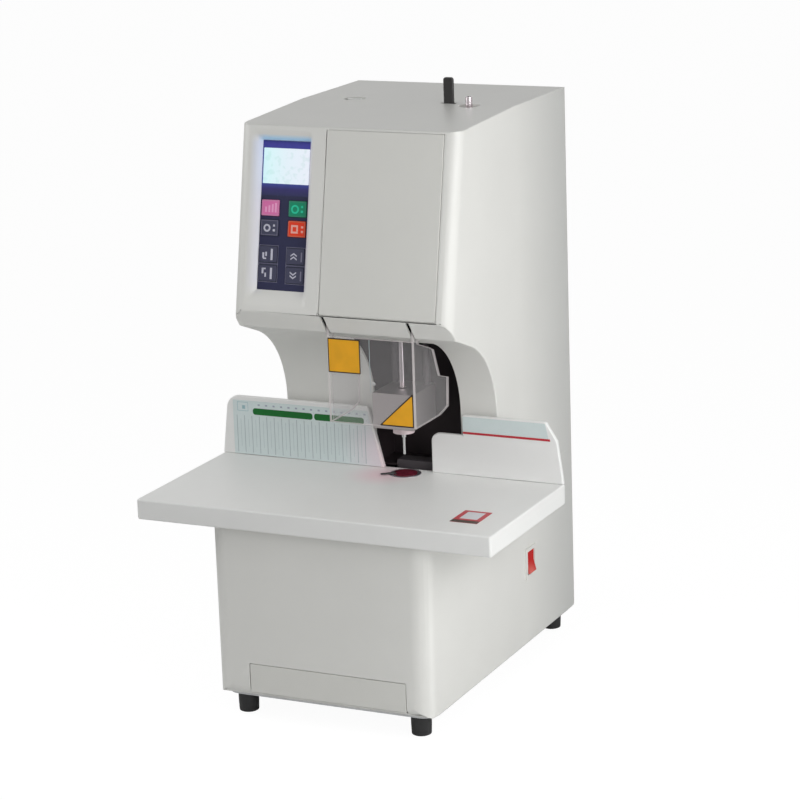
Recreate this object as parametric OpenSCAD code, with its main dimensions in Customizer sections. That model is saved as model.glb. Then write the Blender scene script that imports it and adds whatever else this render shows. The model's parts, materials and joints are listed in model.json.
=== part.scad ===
// Document riveting machine: drills a stack of papers and sets plastic rivets.
// X points right, Y points back, Z points up. The origin is on the ground,
// below the centre of the footprint. All lengths are in millimetres.

/* [Base and casing] */
// Width of the casing
casing_w = 272; // [264:1:280]
// Rear face of the casing behind the origin
casing_rear = 225; // [220:1:235]
// Front face of the base ahead of the origin
base_front = 214; // [205:1:220]
// Height of the base casing
base_h = 204; // [195:1:215]
// Wall thickness of the casing
casing_wall = 3; // [2.5:0.5:4]
// Radius of the upright front corners of the base
base_corner_r = 22; // [12:1:28]
// Radius of the rear corners and of the rear top edge
rear_corner_r = 14; // [8:1:18]
// Radius of the bottom front edge of the base
base_edge_r = 14; // [6:1:18]
// Radius of the bottom rear edge of the base
base_rear_r = 20; // [12:1:24]
// Thickness of the steel base plate
plate_t = 3; // [2:0.5:4]
// Setback of the base plate from the casing edge
plate_inset = 4; // [2:1:8]
// Width of the casing's bottom flange
flange_w = 18; // [12:1:22]

/* [Column and head] */
// Front plane of the column ahead of the origin
column_front = 9; // [7:0.5:12]
// Radius of the concave throat
throat_r = 105; // [100:1:110]
// Height of the throat's arc centre above the table
throat_rise = 71; // [66:1:76]
// Turn of the throat arc before the head's underside begins
throat_turn = 66.5; // [64:0.5:69]
// Depth of the sloping underside of the head
underside_run = 63.7; // [58:0.1:70]
// Slope of the underside, in degrees
underside_slope = 20.6; // [18:0.1:23]
// Height of the head's sloping front
head_h = 221.8; // [216:0.1:228]
// Lean of the head's front, in degrees
head_lean = 11.15; // [9:0.05:13]
// Radius of the head's left front corner
head_left_r = 14; // [8:1:17]
// Radius of the head's right front corner
head_right_r = 15; // [8:1:17]
// Height of the bevel along the head's lower front edge
bevel_rise = 14; // [10:1:16]
// Reach of that bevel along the head's underside
bevel_run = 20; // [14:1:24]
// Radius of the bevel's two edges
head_edge_r = 3; // [1:0.5:4]
// Rise of the top from its front edge to its crease
top_rise = 6; // [2:1:9]
// Crease of the top behind the origin
top_crease = 60; // [50:1:70]

/* [Throat opening] */
// Left edge of the opening from the centre plane
opening_left = -20; // [-26:1:-17]
// Right edge of the opening from the centre plane
opening_right = 90; // [88:1:98]
// Front end of the opening ahead of the origin
opening_front = 78; // [76:1:82]
// Depth of the black liner behind the column's front plane
liner_depth = 53; // [46:1:56]
// Thickness of the liner
liner_t = 2; // [1.5:0.5:2.5]

/* [Work table] */
// Width of the table
table_w = 440; // [420:1:460]
// Front edge of the table ahead of the origin
table_front = 227; // [222:1:235]
// Rear edge of the table ahead of the origin
table_rear = 13; // [12:0.5:16]
// Thickness of the table
table_t = 24; // [18:1:28]
// Corner radius of the table
table_corner_r = 3; // [1:1:8]

/* [Backstops] */
// Height of the backstops above the table
stop_h = 72; // [62:1:80]
// Thickness of the backstops
stop_t = 6; // [4:0.5:8]
// Inner end of the left backstop
left_stop_end = -6; // [-12:1:-4]
// Inner end of the right backstop
right_stop_end = 56; // [55.5:0.5:60]
// Width of the right backstop's low step
right_step_w = 39.5; // [34:0.5:44]
// Drop of the low step below the top
right_step_drop = 24; // [18:1:30]
// Slant of the outer ends at mid height
stop_slant = 9; // [4:1:14]
// Corner radius of the left backstop
stop_corner_r = 16; // [8:1:20]
// Length of the ruler strip
ruler_l = 195; // [180:1:200]
// Height of the ruler strip
ruler_h = 66; // [50:1:68]
// Thickness of the ruler strip
ruler_t = 0.5; // [0.4:0.1:0.8]

/* [Feet] */
// Height of the rubber feet
foot_h = 24; // [20:1:28]
// Radius of the rubber feet
foot_r = 12; // [10:0.5:14]
// Sideways place of the feet
foot_x = 110; // [100:1:116]
// Front feet ahead of the origin
foot_front = 184; // [175:1:190]
// Rear feet behind the origin
foot_rear = 201; // [192:1:203]
// Radius of the foot screws
foot_screw_r = 2.5; // [2:0.25:3]
// Radius of the foot screws' heads
foot_head_r = 5; // [4.5:0.5:6]
// Thickness of the foot screws' heads
foot_head_t = 3; // [2:0.5:4]

/* [Tool axis] */
// Drill axis right of the centre plane
tool_x = 28; // [27:0.5:30]
// Drill axis ahead of the origin
tool_y = 33; // [31:0.5:35]
// Radius of the drill bit
bit_r = 1.5; // [1.25:0.25:2]
// Height of the drill's tip above the table
bit_gap = 23.5; // [23.5:0.5:28]
// Radius of the drill spindle
spindle_r = 3; // [2.6:0.1:4]
// Length of the bit that shows below the spindle
bit_l = 74.5; // [70:0.5:78]
// Radius of the collar on the bit
collar_r = 2.6; // [2.2:0.1:3.5]
// Height of the bit's collar above the table
collar_rise = 44; // [36:1:46]
// Thickness of the bit's collar
collar_t = 3; // [2:0.5:4]
// Length of the bit's shank in the spindle
shank_l = 20; // [14:1:26]
// Height of the presser foot above the table
presser_gap = 50; // [49:1:53]
// Width of the presser block
presser_w = 51; // [50:0.5:52]
// Depth of the presser block
presser_d = 62; // [58:1:62]
// Height of the presser block
presser_h = 42; // [36:1:46]
// Setback of the presser block's front from the drill axis
presser_lead = 31; // [29:0.5:33]
// Radius of the presser foot ring
presser_foot_r = 12.5; // [11:0.5:14]
// Height of the presser foot ring
presser_foot_h = 11; // [8:0.5:12]
// Radius of the passage for the drill in the presser
presser_bore_r = 6; // [5:0.5:7]
// Radius of the presser rods
presser_rod_r = 3.5; // [3:0.25:4]
// Distance between the presser rods
presser_rod_pitch = 40; // [38:1:42]
// Length of the presser rods above the block
presser_rod_l = 200; // [180:5:210]

/* [Carriage] */
// Width of the carriage block
carriage_w = 108; // [106:1:110]
// Depth of the carriage block
carriage_d = 40; // [36:1:40]
// Height of the carriage block
carriage_h = 36; // [30:1:40]
// Height of the carriage above the lower frame plate
carriage_lift = 38; // [36:1:40]
// Radius of the guide rods
guide_r = 6; // [5:0.5:7]
// Distance between the guide rods
guide_pitch = 64; // [62:1:66]
// Radius of the feed screw
feed_r = 5; // [4:0.5:6]
// Feed screw right of the drill axis
feed_offset = 54; // [52:1:56]
// Radius of the spindle motor
motor_r = 20; // [17:0.5:20]
// Length of the spindle motor
motor_l = 40; // [34:1:42]
// Distance from the spindle to its motor
motor_pitch = 57; // [55:1:58]
// Radius of the belt pulleys
pulley_r = 13; // [10:0.5:14]
// Height of the belt pulleys
pulley_h = 10; // [8:0.5:12]
// Thickness of the belt
belt_t = 1.4; // [1:0.1:2]
// Radius of the motor shaft
motor_shaft_r = 2.5; // [2:0.25:3]

/* [Anvil] */
// Radius of the cutting pad
pad_r = 14; // [13:0.5:15]
// Thickness of the cutting pad
pad_t = 4; // [3:0.5:5]
// Height of the pad's face above the table
pad_rise = 1; // [0.6:0.1:1.2]
// Outer radius of the anvil ring
ring_r = 18.5; // [17.5:0.5:20]
// Length of the pad's lever
pad_lever_l = 18; // [14:1:20]
// Width of the pad's lever
pad_lever_w = 2.5; // [2:0.5:4]
// Thickness of the pad's lever
pad_lever_t = 1.6; // [1.2:0.2:2]
// Turn of the pad's lever towards the front, in degrees
pad_lever_turn = 35; // [20:1:45]

/* [Frame] */
// Thickness of the frame's upright
upright_t = 24; // [18:1:26]
// Thickness of the lower frame plate
lower_plate_t = 16; // [14:1:18]
// Thickness of the upper frame plate
upper_plate_t = 14; // [12:1:16]
// Height kept free above the upper frame plate
head_space = 43.8; // [42:0.2:46]
// Height of the feed motor
feed_motor_h = 32; // [28:1:34]
// Reach of the frame plates ahead of the origin
plate_reach = 62; // [60:1:64]
// Width of the lower arm
arm_w = 48; // [44:1:50]
// Thickness of the lower arm
arm_t = 28; // [24:1:32]
// Width of the ledge behind the anvil
ledge_w = 50; // [46:1:54]
// Height of the ledge above the table
ledge_rise = 6.5; // [5:0.5:9]
// Depth of the ledge
ledge_d = 20; // [16:1:24]
// Depth of the frame's foot
foot_plate_d = 112; // [100:1:120]
// Thickness of the frame's foot
foot_plate_t = 12; // [8:1:16]

/* [Guard] */
// Thickness of the clear guard
guard_t = 3; // [2:0.5:4]
// Left edge of the guard
guard_left = -23.5; // [-24:0.5:-22.5]
// Right edge of the guard
guard_right = 85; // [84:0.5:86]
// Front face of the guard ahead of the origin
guard_front = 119; // [117:0.5:120]
// Top of the guard's front above the table
guard_top = 180; // [176:0.5:181]
// Height of the guard's front
guard_h = 100; // [92:1:104]
// Depth of the guard's right side
guard_side_d = 91; // [84:1:94]
// Depth of the guard's left side
guard_left_d = 76; // [60:1:78]
// Width of the guard's arms
guard_arm_w = 16; // [12:1:18]
// Guard pivot ahead of the origin
guard_pivot_y = 112; // [110:0.5:113]
// Guard pivot above the lower face of the head's plate
guard_pivot_rise = 29; // [27:1:34]
// Radius of the guard pins
guard_pin_r = 3; // [2.5:0.25:3.5]
// Width of the guard slots in the head
guard_slot_w = 5; // [4.5:0.5:6]
// Front end of the guard slots ahead of the origin
guard_slot_front = 140; // [136:1:144]

/* [Front cover and key panel] */
// Gap from the panel frame to the front cover
cover_seam = 1; // [0.8:0.1:1.5]
// Right seam of the front cover
cover_right = 118; // [112:0.5:120]
// Gap from the front cover to the head's top edge
cover_drop = 2.6; // [2.6:0.1:4]
// Gap from the front cover to the head's bevel
cover_low_gap = 2; // [2:0.2:4]
// Thickness of the front cover
cover_t = 1.8; // [1.2:0.1:2]
// Width of the cover's seat
cover_lip = 6; // [4:0.5:8]
// Left edge of the panel frame
panel_left = -121; // [-121.5:0.5:-120]
// Width of the panel frame
panel_frame_w = 94; // [92:0.5:94.5]
// Length of the panel frame
panel_frame_l = 202; // [198:1:204]
// Top of the panel frame below the head's top edge
panel_drop = 5; // [4:0.5:6]
// Depth of the panel's face behind the casing
panel_depth = 8; // [6:0.5:9]
// Width of the frame's wall left of the key panel
panel_wall_left = 12; // [11.5:0.5:13]
// Width of the frame's wall right of the key panel
panel_wall_right = 22; // [21:0.5:23]
// Length of the frame's wall above the key panel
panel_wall_top = 12; // [10:0.5:14]
// Length of the frame's wall below the key panel
panel_wall_low = 21; // [19:0.5:23]
// Thickness of the key panel
panel_t = 2; // [1.5:0.25:3]
// Height of the display window
lcd_h = 41.5; // [38:0.5:44]
// Top of the display window below the panel's edge
lcd_drop = 8.5; // [7:0.5:10]
// Thickness of the display module
lcd_t = 7; // [5:0.5:9]
// Width of a key
key_w = 22; // [20:0.5:24]
// Height of a round-cornered key
key_h = 18; // [16:0.5:19]
// Thickness of a key
key_t = 6; // [5:0.5:7]
// Height that a key stands above the panel
key_rise = 1.4; // [1.3:0.1:2]
// Travel of a key
key_travel = 1.2; // [0.8:0.1:1.2]
// Gap round a key
key_gap = 0.4; // [0.3:0.1:0.6]

/* [Top fittings] */
// Lever right of the centre plane
lever_x = 53; // [51:0.5:54]
// Lever behind the origin
lever_y = 65; // [64:0.5:68]
// Width of the lever
lever_w = 12; // [10:0.5:13]
// Thickness of the lever
lever_t = 4.6; // [4:0.1:5.4]
// Height of the lever above the top
lever_rise = 30; // [24:1:34]
// Depth of the lever's pivot below the top
lever_pivot = 24; // [20:1:28]
// Length of the lever's slot
lever_slot_l = 19; // [18.5:0.5:22]
// Width of the lever's slot
lever_slot_w = 7.5; // [6.5:0.5:9]
// Radius of the lever's pin
lever_pin_r = 3; // [2:0.25:3.5]
// Tube guide right of the centre plane
tube_x = 83; // [81:0.5:86]
// Tube guide behind the origin
tube_y = 54; // [52:0.5:56]
// Outer radius of the tube guide
tube_r = 4; // [3.5:0.1:4.5]
// Bore radius of the tube guide
tube_bore_r = 3; // [2.5:0.1:3.2]
// Height of the tube guide above the top
tube_rise = 10; // [6:1:14]
// Length of the tube guide
tube_l = 44; // [36:1:50]
// Radius of the recess round the tube guide
tube_cup_r = 12.3; // [11:0.1:13]
// Knob left of the centre plane
knob_x = 72; // [68:0.5:76]
// Knob behind the origin
knob_y = 73.5; // [72:0.5:80]
// Radius of the recess round the knob
knob_cup_r = 13; // [12.5:0.1:15]
// Radius of the knob
knob_r = 11.5; // [10:0.1:11.8]
// Depth of the recesses
cup_depth = 5; // [4:0.5:7]

/* [Switch, tray and rear] */
// Rocker switch behind the origin
switch_y = 76; // [70:1:84]
// Rocker switch above the ground
switch_z = 126; // [118:1:140]
// Length of the rocker
rocker_l = 28; // [24:1:32]
// Width of the rocker
rocker_w = 20; // [16:1:24]
// Width of the switch frame's rim
switch_rim = 3; // [2:0.5:4]
// Tilt of the rocker at rest, in degrees
rocker_tilt = 7; // [4:1:9]
// Width of the chip tray
tray_w = 196; // [180:1:200]
// Height of the chip tray's front
tray_h = 34; // [28:1:38]
// Middle of the chip tray right of the centre plane
tray_x = 8; // [4:1:10]
// Bottom of the tray's front above the casing's lower edge
tray_lift = 7; // [6:1:9]
// Depth of the chip tray
tray_d = 190; // [170:1:196]
// Wall thickness of the chip tray
tray_wall = 2; // [1.5:0.5:3]
// Running gap of the chip tray
tray_gap = 0.8; // [0.5:0.1:0.9]
// Half width of the rear cover
rear_cover_half = 116; // [110:1:118]
// Bottom edge of the rear cover above the ground
rear_cover_low = 56; // [50:1:60]
// Thickness of the rear cover
rear_cover_t = 2; // [1.5:0.5:2]
// Overlap of the rear cover on the casing
rear_cover_lap = 8; // [7:1:12]
// Width of a vent slot
vent_w = 3; // [2:0.5:4]
// Length of a vent slot
vent_l = 60; // [40:5:70]
// Spacing of the vent slots
vent_pitch = 8; // [7:0.5:10]
// Number of vent slots in a row
vent_count = 16; // [8:1:18]
// Radius of the rear cover's screws
rear_screw_r = 1.5; // [1.25:0.25:2]

/* [Electrics] */
// Width of the power supply
supply_w = 98; // [90:1:104]
// Depth of the power supply
supply_d = 130; // [110:1:140]
// Height of the power supply
supply_h = 40; // [30:1:50]
// Width of the control board
board_w = 90; // [80:1:94]
// Depth of the control board
board_d = 140; // [120:1:150]
// Thickness of the circuit boards
board_t = 1.6; // [1.2:0.2:2]
// Height of the board's standoffs
standoff_h = 10; // [6:1:14]
// Radius of the board's standoffs
standoff_r = 3.5; // [3:0.5:4]
// Width of the mains inlet
inlet_w = 30; // [28:1:32]
// Height of the mains inlet
inlet_h = 22; // [20:1:26]
// Depth of the mains inlet
inlet_d = 24; // [20:1:28]
// Mains inlet right of the centre plane
inlet_x = 74; // [68:1:80]
// Mains inlet above the base plate
inlet_rise = 72; // [66:1:80]

/* [Clearances] */
// Radial running clearance of a shaft
run_gap = 0.05; // [0.03:0.01:0.08]
// Gap between pieces that move past each other
side_gap = 0.4; // [0.3:0.1:0.6]
// Gap between fixed pieces
fit_gap = 0.2; // [0.1:0.1:0.3]

/* [Hidden] */
$fn = 64;
eps = 0.01;
far = 500;
half_w = casing_w / 2;
plate_z = foot_h;
casing_low = plate_z + plate_t;
base_top = casing_low + base_h;
table_top = base_top + table_t;
arc_y = -column_front - throat_r;
arc_z = table_top + throat_rise;
under_start = [arc_y + throat_r * cos(throat_turn), arc_z + throat_r * sin(throat_turn)];
under_end = under_start + underside_run * [-1, tan(underside_slope)];
bevel_top = under_end + bevel_rise * [tan(head_lean), 1];
bevel_low = under_end + bevel_run * [cos(underside_slope), -sin(underside_slope)];
under_deep = [arc_y, arc_z] + 0.9 * throat_r * [cos(throat_turn), sin(throat_turn)];
front_top = under_end + head_h * [tan(head_lean), 1];
casing_top = front_top[1] + top_rise;
tool = [tool_x, -tool_y];
top_edge_r = 3;
// Frame levels
arm_top = base_top - 7;
ledge_top = table_top + ledge_rise;
presser_rear = presser_d - tool_y - presser_lead;
ledge_front = presser_rear + side_gap;
ledge_rear = ledge_front + ledge_d;
upright_y = liner_depth - column_front + 6;
liner_top = under_end[1] - 12;
lower_plate_z = under_end[1] - 10;
lower_plate_top = lower_plate_z + lower_plate_t;
upper_plate_top = casing_top - head_space;
upper_plate_z = upper_plate_top - upper_plate_t;
frame_left = tool_x - 46;
frame_right = tool_x + 68;
// Carriage and spindle levels
carriage_z = lower_plate_top + carriage_lift;
carriage_top = carriage_z + carriage_h;
motor_y = motor_pitch - tool_y;
pulley_z = carriage_top + motor_l + 4;
spindle_low = table_top + bit_gap + bit_l;
bit_tip = table_top + bit_gap;
presser_z = table_top + presser_gap;
block_z = presser_z + presser_foot_h;
block_top = block_z + presser_h;
rod_y = -8;
// Panel and cover places, measured in the plane of the head's front
panel_w = panel_frame_w - panel_wall_left - panel_wall_right;
panel_l = panel_frame_l - panel_wall_top - panel_wall_low;
panel_right = panel_left + panel_frame_w;
cover_left = panel_right + cover_seam;
cover_low = cover_low_gap - (head_h - bevel_rise) / cos(head_lean);
frame_top_v = -panel_drop;
frame_low_v = frame_top_v - panel_frame_l;
face_left = panel_left + panel_wall_left;
face_right = face_left + panel_w;
face_top_v = frame_top_v - panel_wall_top;
face_low_v = face_top_v - panel_l;
face_w = -panel_depth;
back_w = face_w - panel_t;
board_w0 = back_w - lcd_t - 2;
// Guard levels
guard_top_z = table_top + guard_top;
guard_low_z = guard_top_z - guard_h;
guard_pivot_z = lower_plate_z + guard_pivot_rise;
// Tray levels
tray_z = casing_low + tray_lift;
tray_left = tray_x - tray_w / 2;
tray_right = tray_x + tray_w / 2;
rear_cover_high = casing_top - 34;
stop_rear = table_rear;
stop_front = table_rear + stop_t;
stop_out = table_w / 2;
key_step = key_h + 3.5;

// ---- Outlines ----
function unit(v) = v / norm(v);
// Arc of radius r that rounds the corner q between p and s
function corner_arc(p, q, s, r, n) =
  let (u = unit(p - q), v = unit(s - q), half = acos(u * v) / 2)
  let (c = q + unit(u + v) * r / sin(half), a = q + u * r / tan(half) - c)
  let (b = q + v * r / tan(half) - c, start = atan2(a[1], a[0]))
  let (sweep = (180 - 2 * half) * sign(cross(a, b)))
  [for (i = [0:n]) c + r * [cos(start + sweep * i / n), sin(start + sweep * i / n)]];
function flat(p) = [p[0], p[1]];
// Outline through the points [a, b, radius] with their corners rounded
function rounded(pts) =
  let (n = len(pts))
  [for (i = [0:n - 1])
    let (p = flat(pts[(i + n - 1) % n]), q = flat(pts[i]), s = flat(pts[(i + 1) % n]))
    each (pts[i][2] > 0 ? corner_arc(p, q, s, pts[i][2], 6) : [q])];
// The same outline moved inwards by d; its points run anticlockwise
function inset(pts, d) =
  let (n = len(pts))
  [for (i = [0:n - 1])
    let (p = flat(pts[(i + n - 1) % n]), q = flat(pts[i]), s = flat(pts[(i + 1) % n]))
    let (e = unit(q - p), f = unit(s - q), g = [-e[1], e[0]], h = [-f[1], f[0]])
    let (m = q + d * (g + h) / (1 + g * h))
    [m[0], m[1], pts[i][2] > 0 ? max(pts[i][2] - d, 0.5) : 0]];

// Straight-edged block from corner lo to corner hi
module block(lo, hi) { translate(lo) cube(hi - lo); }
// Upright round bar
module bar(at, r, z0, z1) { translate([at[0], at[1], z0]) cylinder(r = r, h = z1 - z0); }
// Bar along X
module cross_bar(x0, x1, y, z, r) { translate([x0, y, z]) rotate([0, 90, 0]) cylinder(r = r, h = x1 - x0); }
// Side outline in Y and Z, carried along X
module side_shape(x0, x1) { translate([x0, 0, 0]) rotate([90, 0, 90]) linear_extrude(x1 - x0) children(); }
// Plane of the head's front: X right, Y up the slope, Z outwards, zero at its top edge
module on_front() {
  translate([0, front_top[0], front_top[1]]) rotate([90 - head_lean, 0, 0]) children();
}
// Places four children at the feet
module at_feet() {
  for (x = [-foot_x, foot_x]) for (y = [-foot_front, foot_rear]) translate([x, y, 0]) children();
}

// ---- Casing ----
base_side = [[-base_front, casing_low, base_edge_r], [casing_rear, casing_low, base_rear_r],
  [casing_rear, base_top, 0], [-base_front, base_top, 0]];
base_plan = [[-half_w, -base_front, base_corner_r], [half_w, -base_front, base_corner_r],
  [half_w, casing_rear, rear_corner_r], [-half_w, casing_rear, rear_corner_r]];
upper_plan = [[-half_w, -far, 0], [half_w, -far, 0],
  [half_w, casing_rear, rear_corner_r], [-half_w, casing_rear, rear_corner_r]];
head_section = [[-half_w, -far, 0], [half_w, -far, 0],
  [half_w, 0, head_right_r], [-half_w, 0, head_left_r]];
function upper_side(low) = [[-column_front, low, 0], [casing_rear, low, 0],
  [casing_rear, casing_top, rear_corner_r], [top_crease, casing_top, 0],
  [front_top[0], front_top[1], top_edge_r], [bevel_top[0], bevel_top[1], head_edge_r],
  [bevel_low[0], bevel_low[1], head_edge_r], [under_start[0], under_start[1], 0],
  [under_deep[0], under_deep[1], 0], [-column_front, arc_z, 0]];

module base_form(d) {
  intersection() {
    side_shape(-half_w + d, half_w - d) polygon(rounded(inset(base_side, d)));
    linear_extrude(base_top + 1) polygon(rounded(inset(base_plan, d)));
  }
}
module upper_form(d, low) {
  intersection() {
    side_shape(-half_w + d, half_w - d) difference() {
      polygon(rounded(inset(upper_side(low), d)));
      translate([arc_y, arc_z]) circle(throat_r + d, $fn = 128);
    }
    linear_extrude(casing_top + 1) polygon(rounded(inset(upper_plan, d)));
    on_front() rotate([90, 0, 0]) linear_extrude(2 * far, center = true)
      polygon(rounded(inset(head_section, d)));
  }
}
module throat_cut() {
  block([opening_left, -opening_front, base_top],
    [opening_right, -column_front + casing_wall + eps, liner_top]);
  block([tool_x - ledge_w / 2 - fit_gap, -column_front - eps, arm_top],
    [tool_x + ledge_w / 2 + fit_gap, -column_front + casing_wall + eps, base_top + 1]);
}
module guard_slots() {
  for (x = [guard_left + guard_t / 2, guard_right - guard_t / 2])
    block([x - guard_slot_w / 2, -guard_slot_front, guard_top_z - 12],
      [x + guard_slot_w / 2, -guard_front + 18, bevel_top[1]]);
}
module front_cuts() {
  on_front() {
    block([cover_left, cover_low, -cover_t], [cover_right, -cover_drop, 1]);
    block([cover_left + cover_lip, cover_low + cover_lip, -far / 50], [cover_right - cover_lip,
      -cover_drop - cover_lip, 1]);
    block([panel_left, frame_low_v, -far / 50], [panel_right, frame_top_v, 1]);
  }
}
module top_cups() {
  bar([tube_x, tube_y], tube_cup_r + casing_wall, casing_top - cup_depth - casing_wall, casing_top - 1);
  bar([-knob_x, knob_y], knob_cup_r + casing_wall, casing_top - cup_depth - casing_wall, casing_top - 1);
}
module top_cuts() {
  bar([tube_x, tube_y], tube_cup_r, casing_top - cup_depth, casing_top + 1);
  bar([tube_x, tube_y], tube_r, casing_top - far / 20, casing_top + 1);
  bar([-knob_x, knob_y], knob_cup_r, casing_top - cup_depth, casing_top + 1);
  bar([-knob_x, knob_y], knob_stem_r + side_gap, casing_top - far / 20, casing_top + 1);
  block([lever_x - lever_slot_l / 2, lever_y - lever_slot_w / 2, casing_top - far / 20],
    [lever_x + lever_slot_l / 2, lever_y + lever_slot_w / 2, casing_top + 1]);
}
knob_stem_r = 4;
switch_cut_l = rocker_l + 2 * side_gap + switch_rim;
switch_cut_w = rocker_w + 2 * side_gap + switch_rim;
module main_casing() {
  color("#e4ded2") difference() {
    union() {
      difference() {
        union() {
          base_form(0);
          upper_form(0, base_top - 10);
        }
        base_form(casing_wall);
        upper_form(casing_wall, base_top - 3 * casing_wall);
      }
      intersection() { top_cups(); upper_form(0, base_top - 10); }
    }
    throat_cut();
    guard_slots();
    front_cuts();
    top_cuts();
    bar(tool, ring_r + fit_gap, arm_top, base_top + 1);
    block([-half_w + flange_w, -base_front + flange_w + 6, casing_low - 1],
      [half_w - flange_w, casing_rear - flange_w, casing_low + casing_wall + 1]);
    block([tray_left - tray_gap, -base_front - 1, tray_z - tray_gap],
      [tray_right + tray_gap, -base_front + base_edge_r, tray_z + tray_h + tray_gap]);
    block([-rear_cover_half + rear_cover_lap, casing_rear - 2 * casing_wall, rear_cover_low + rear_cover_lap],
      [rear_cover_half - rear_cover_lap, casing_rear + 1, rear_cover_high - rear_cover_lap]);
    rear_screws(0);
    block([half_w - 2 * casing_wall, switch_y - switch_cut_w / 2, switch_z - switch_cut_l / 2],
      [half_w + 1, switch_y + switch_cut_w / 2, switch_z + switch_cut_l / 2]);
  }
}

module base_plate() {
  color("#6c6f72") difference() {
    translate([0, 0, plate_z]) linear_extrude(plate_t) polygon(rounded(inset(plate_plan, plate_inset)));
    at_feet() translate([0, 0, plate_z - 1]) cylinder(r = foot_screw_r, h = plate_t + 2);
  }
}
plate_rear = foot_rear + foot_r + plate_inset;
plate_plan = [[-half_w, -base_front + base_edge_r - plate_inset, base_corner_r],
  [half_w, -base_front + base_edge_r - plate_inset, base_corner_r],
  [half_w, plate_rear, rear_corner_r], [-half_w, plate_rear, rear_corner_r]];

module rubber_feet() {
  color("#1d1d1e") at_feet() difference() {
    cylinder(r1 = foot_r - 1, r2 = foot_r, h = foot_h);
    translate([0, 0, -1]) cylinder(r = foot_head_r + fit_gap, h = foot_h / 2 + 1);
    cylinder(r = foot_screw_r, h = foot_h + 1);
  }
}
module foot_screws() {
  color("silver") at_feet() {
    translate([0, 0, foot_h / 2 - foot_head_t]) cylinder(r = foot_head_r, h = foot_head_t);
    translate([0, 0, foot_h / 2 - eps]) cylinder(r = foot_screw_r, h = foot_h / 2 + plate_t);
  }
}

// ---- Rear ----
module rear_screws(grow) {
  for (x = [-rear_cover_half + rear_cover_lap / 2, rear_cover_half - rear_cover_lap / 2])
    for (t = [0.04, 0.5, 0.96])
      translate([x, casing_rear + rear_cover_t, rear_cover_low + t * (rear_cover_high - rear_cover_low)])
        rotate([90, 0, 0]) {
          cylinder(r = rear_screw_r, h = rear_cover_t + 2 * casing_wall + 2);
          cylinder(r1 = 2 * rear_screw_r, r2 = rear_screw_r, h = rear_screw_r);
        }
}
module rear_cover() {
  vent_x0 = -(vent_count - 1) * vent_pitch / 2;
  color("#ddd7cb") difference() {
    block([-rear_cover_half, casing_rear, rear_cover_low], [rear_cover_half, casing_rear + rear_cover_t,
      rear_cover_high]);
    for (row = [0.3, 0.72]) for (i = [0:vent_count - 1])
      translate([vent_x0 + i * vent_pitch, casing_rear,
        rear_cover_low + row * (rear_cover_high - rear_cover_low)])
        block([-vent_w / 2, -1, -vent_l / 2], [vent_w / 2, rear_cover_t + 1, vent_l / 2]);
    block([inlet_x - inlet_w / 2, casing_rear - 1, inlet_z - inlet_h / 2],
      [inlet_x + inlet_w / 2, casing_rear + rear_cover_t + 1, inlet_z + inlet_h / 2]);
    rear_screws(0);
  }
}
module rear_cover_screws() { color("#8c8c8c") rear_screws(0); }
inlet_z = casing_low + inlet_rise;
module mains_inlet() {
  face = casing_rear + rear_cover_t;
  color("#202022") difference() {
    block([inlet_x - inlet_w / 2, face - inlet_d, inlet_z - inlet_h / 2],
      [inlet_x + inlet_w / 2, face, inlet_z + inlet_h / 2]);
    block([inlet_x - inlet_w / 2 + 3, face - inlet_d + 6, inlet_z - inlet_h / 2 + 3],
      [inlet_x + inlet_w / 2 - 3, face + 1, inlet_z + inlet_h / 2 - 3]);
  }
  color("gold") for (x = [-7, 0, 7])
    block([inlet_x + x - 1, face - inlet_d + 6, inlet_z - 3], [inlet_x + x + 1, face - 4, inlet_z + 3]);
}

// ---- Front cover and throat ----
module front_cover() {
  color("#e8e2d6") on_front()
    block([cover_left + fit_gap, cover_low + fit_gap, -cover_t],
      [cover_right - fit_gap, -cover_drop - fit_gap, 0]);
}
module throat_liner() {
  low = table_top + fit_gap;
  y_in = -column_front + casing_wall;
  y_out = y_in + liner_depth - 5;
  y_front = -opening_front + 2;
  skin = (casing_wall + fit_gap) * [sin(underside_slope), cos(underside_slope)];
  color("#18181a") difference() {
    block([opening_left - liner_t, y_front, low], [opening_right + liner_t, y_out, liner_top]);
    block([opening_left, y_front - 1, low + liner_t], [opening_right, y_out - liner_t, liner_top - liner_t]);
    block([opening_left, -plate_reach - fit_gap, arc_z], [opening_right, y_out - liner_t, liner_top + 1]);
    block([opening_left - far, -far, low - 1], [opening_right + far, y_in, arc_z]);
    side_shape(opening_left - far, opening_right + far) {
      translate([arc_y, arc_z]) circle(throat_r + casing_wall + fit_gap, $fn = 128);
      polygon([under_start + [0, -casing_wall], under_start + skin, under_end + skin, under_end]);
    }
    block([tool_x - ledge_w / 2 - fit_gap, y_in - 1, low - 1], [tool_x + ledge_w / 2 + fit_gap,
      ledge_rear + fit_gap, ledge_top + fit_gap]);
  }
}

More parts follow.
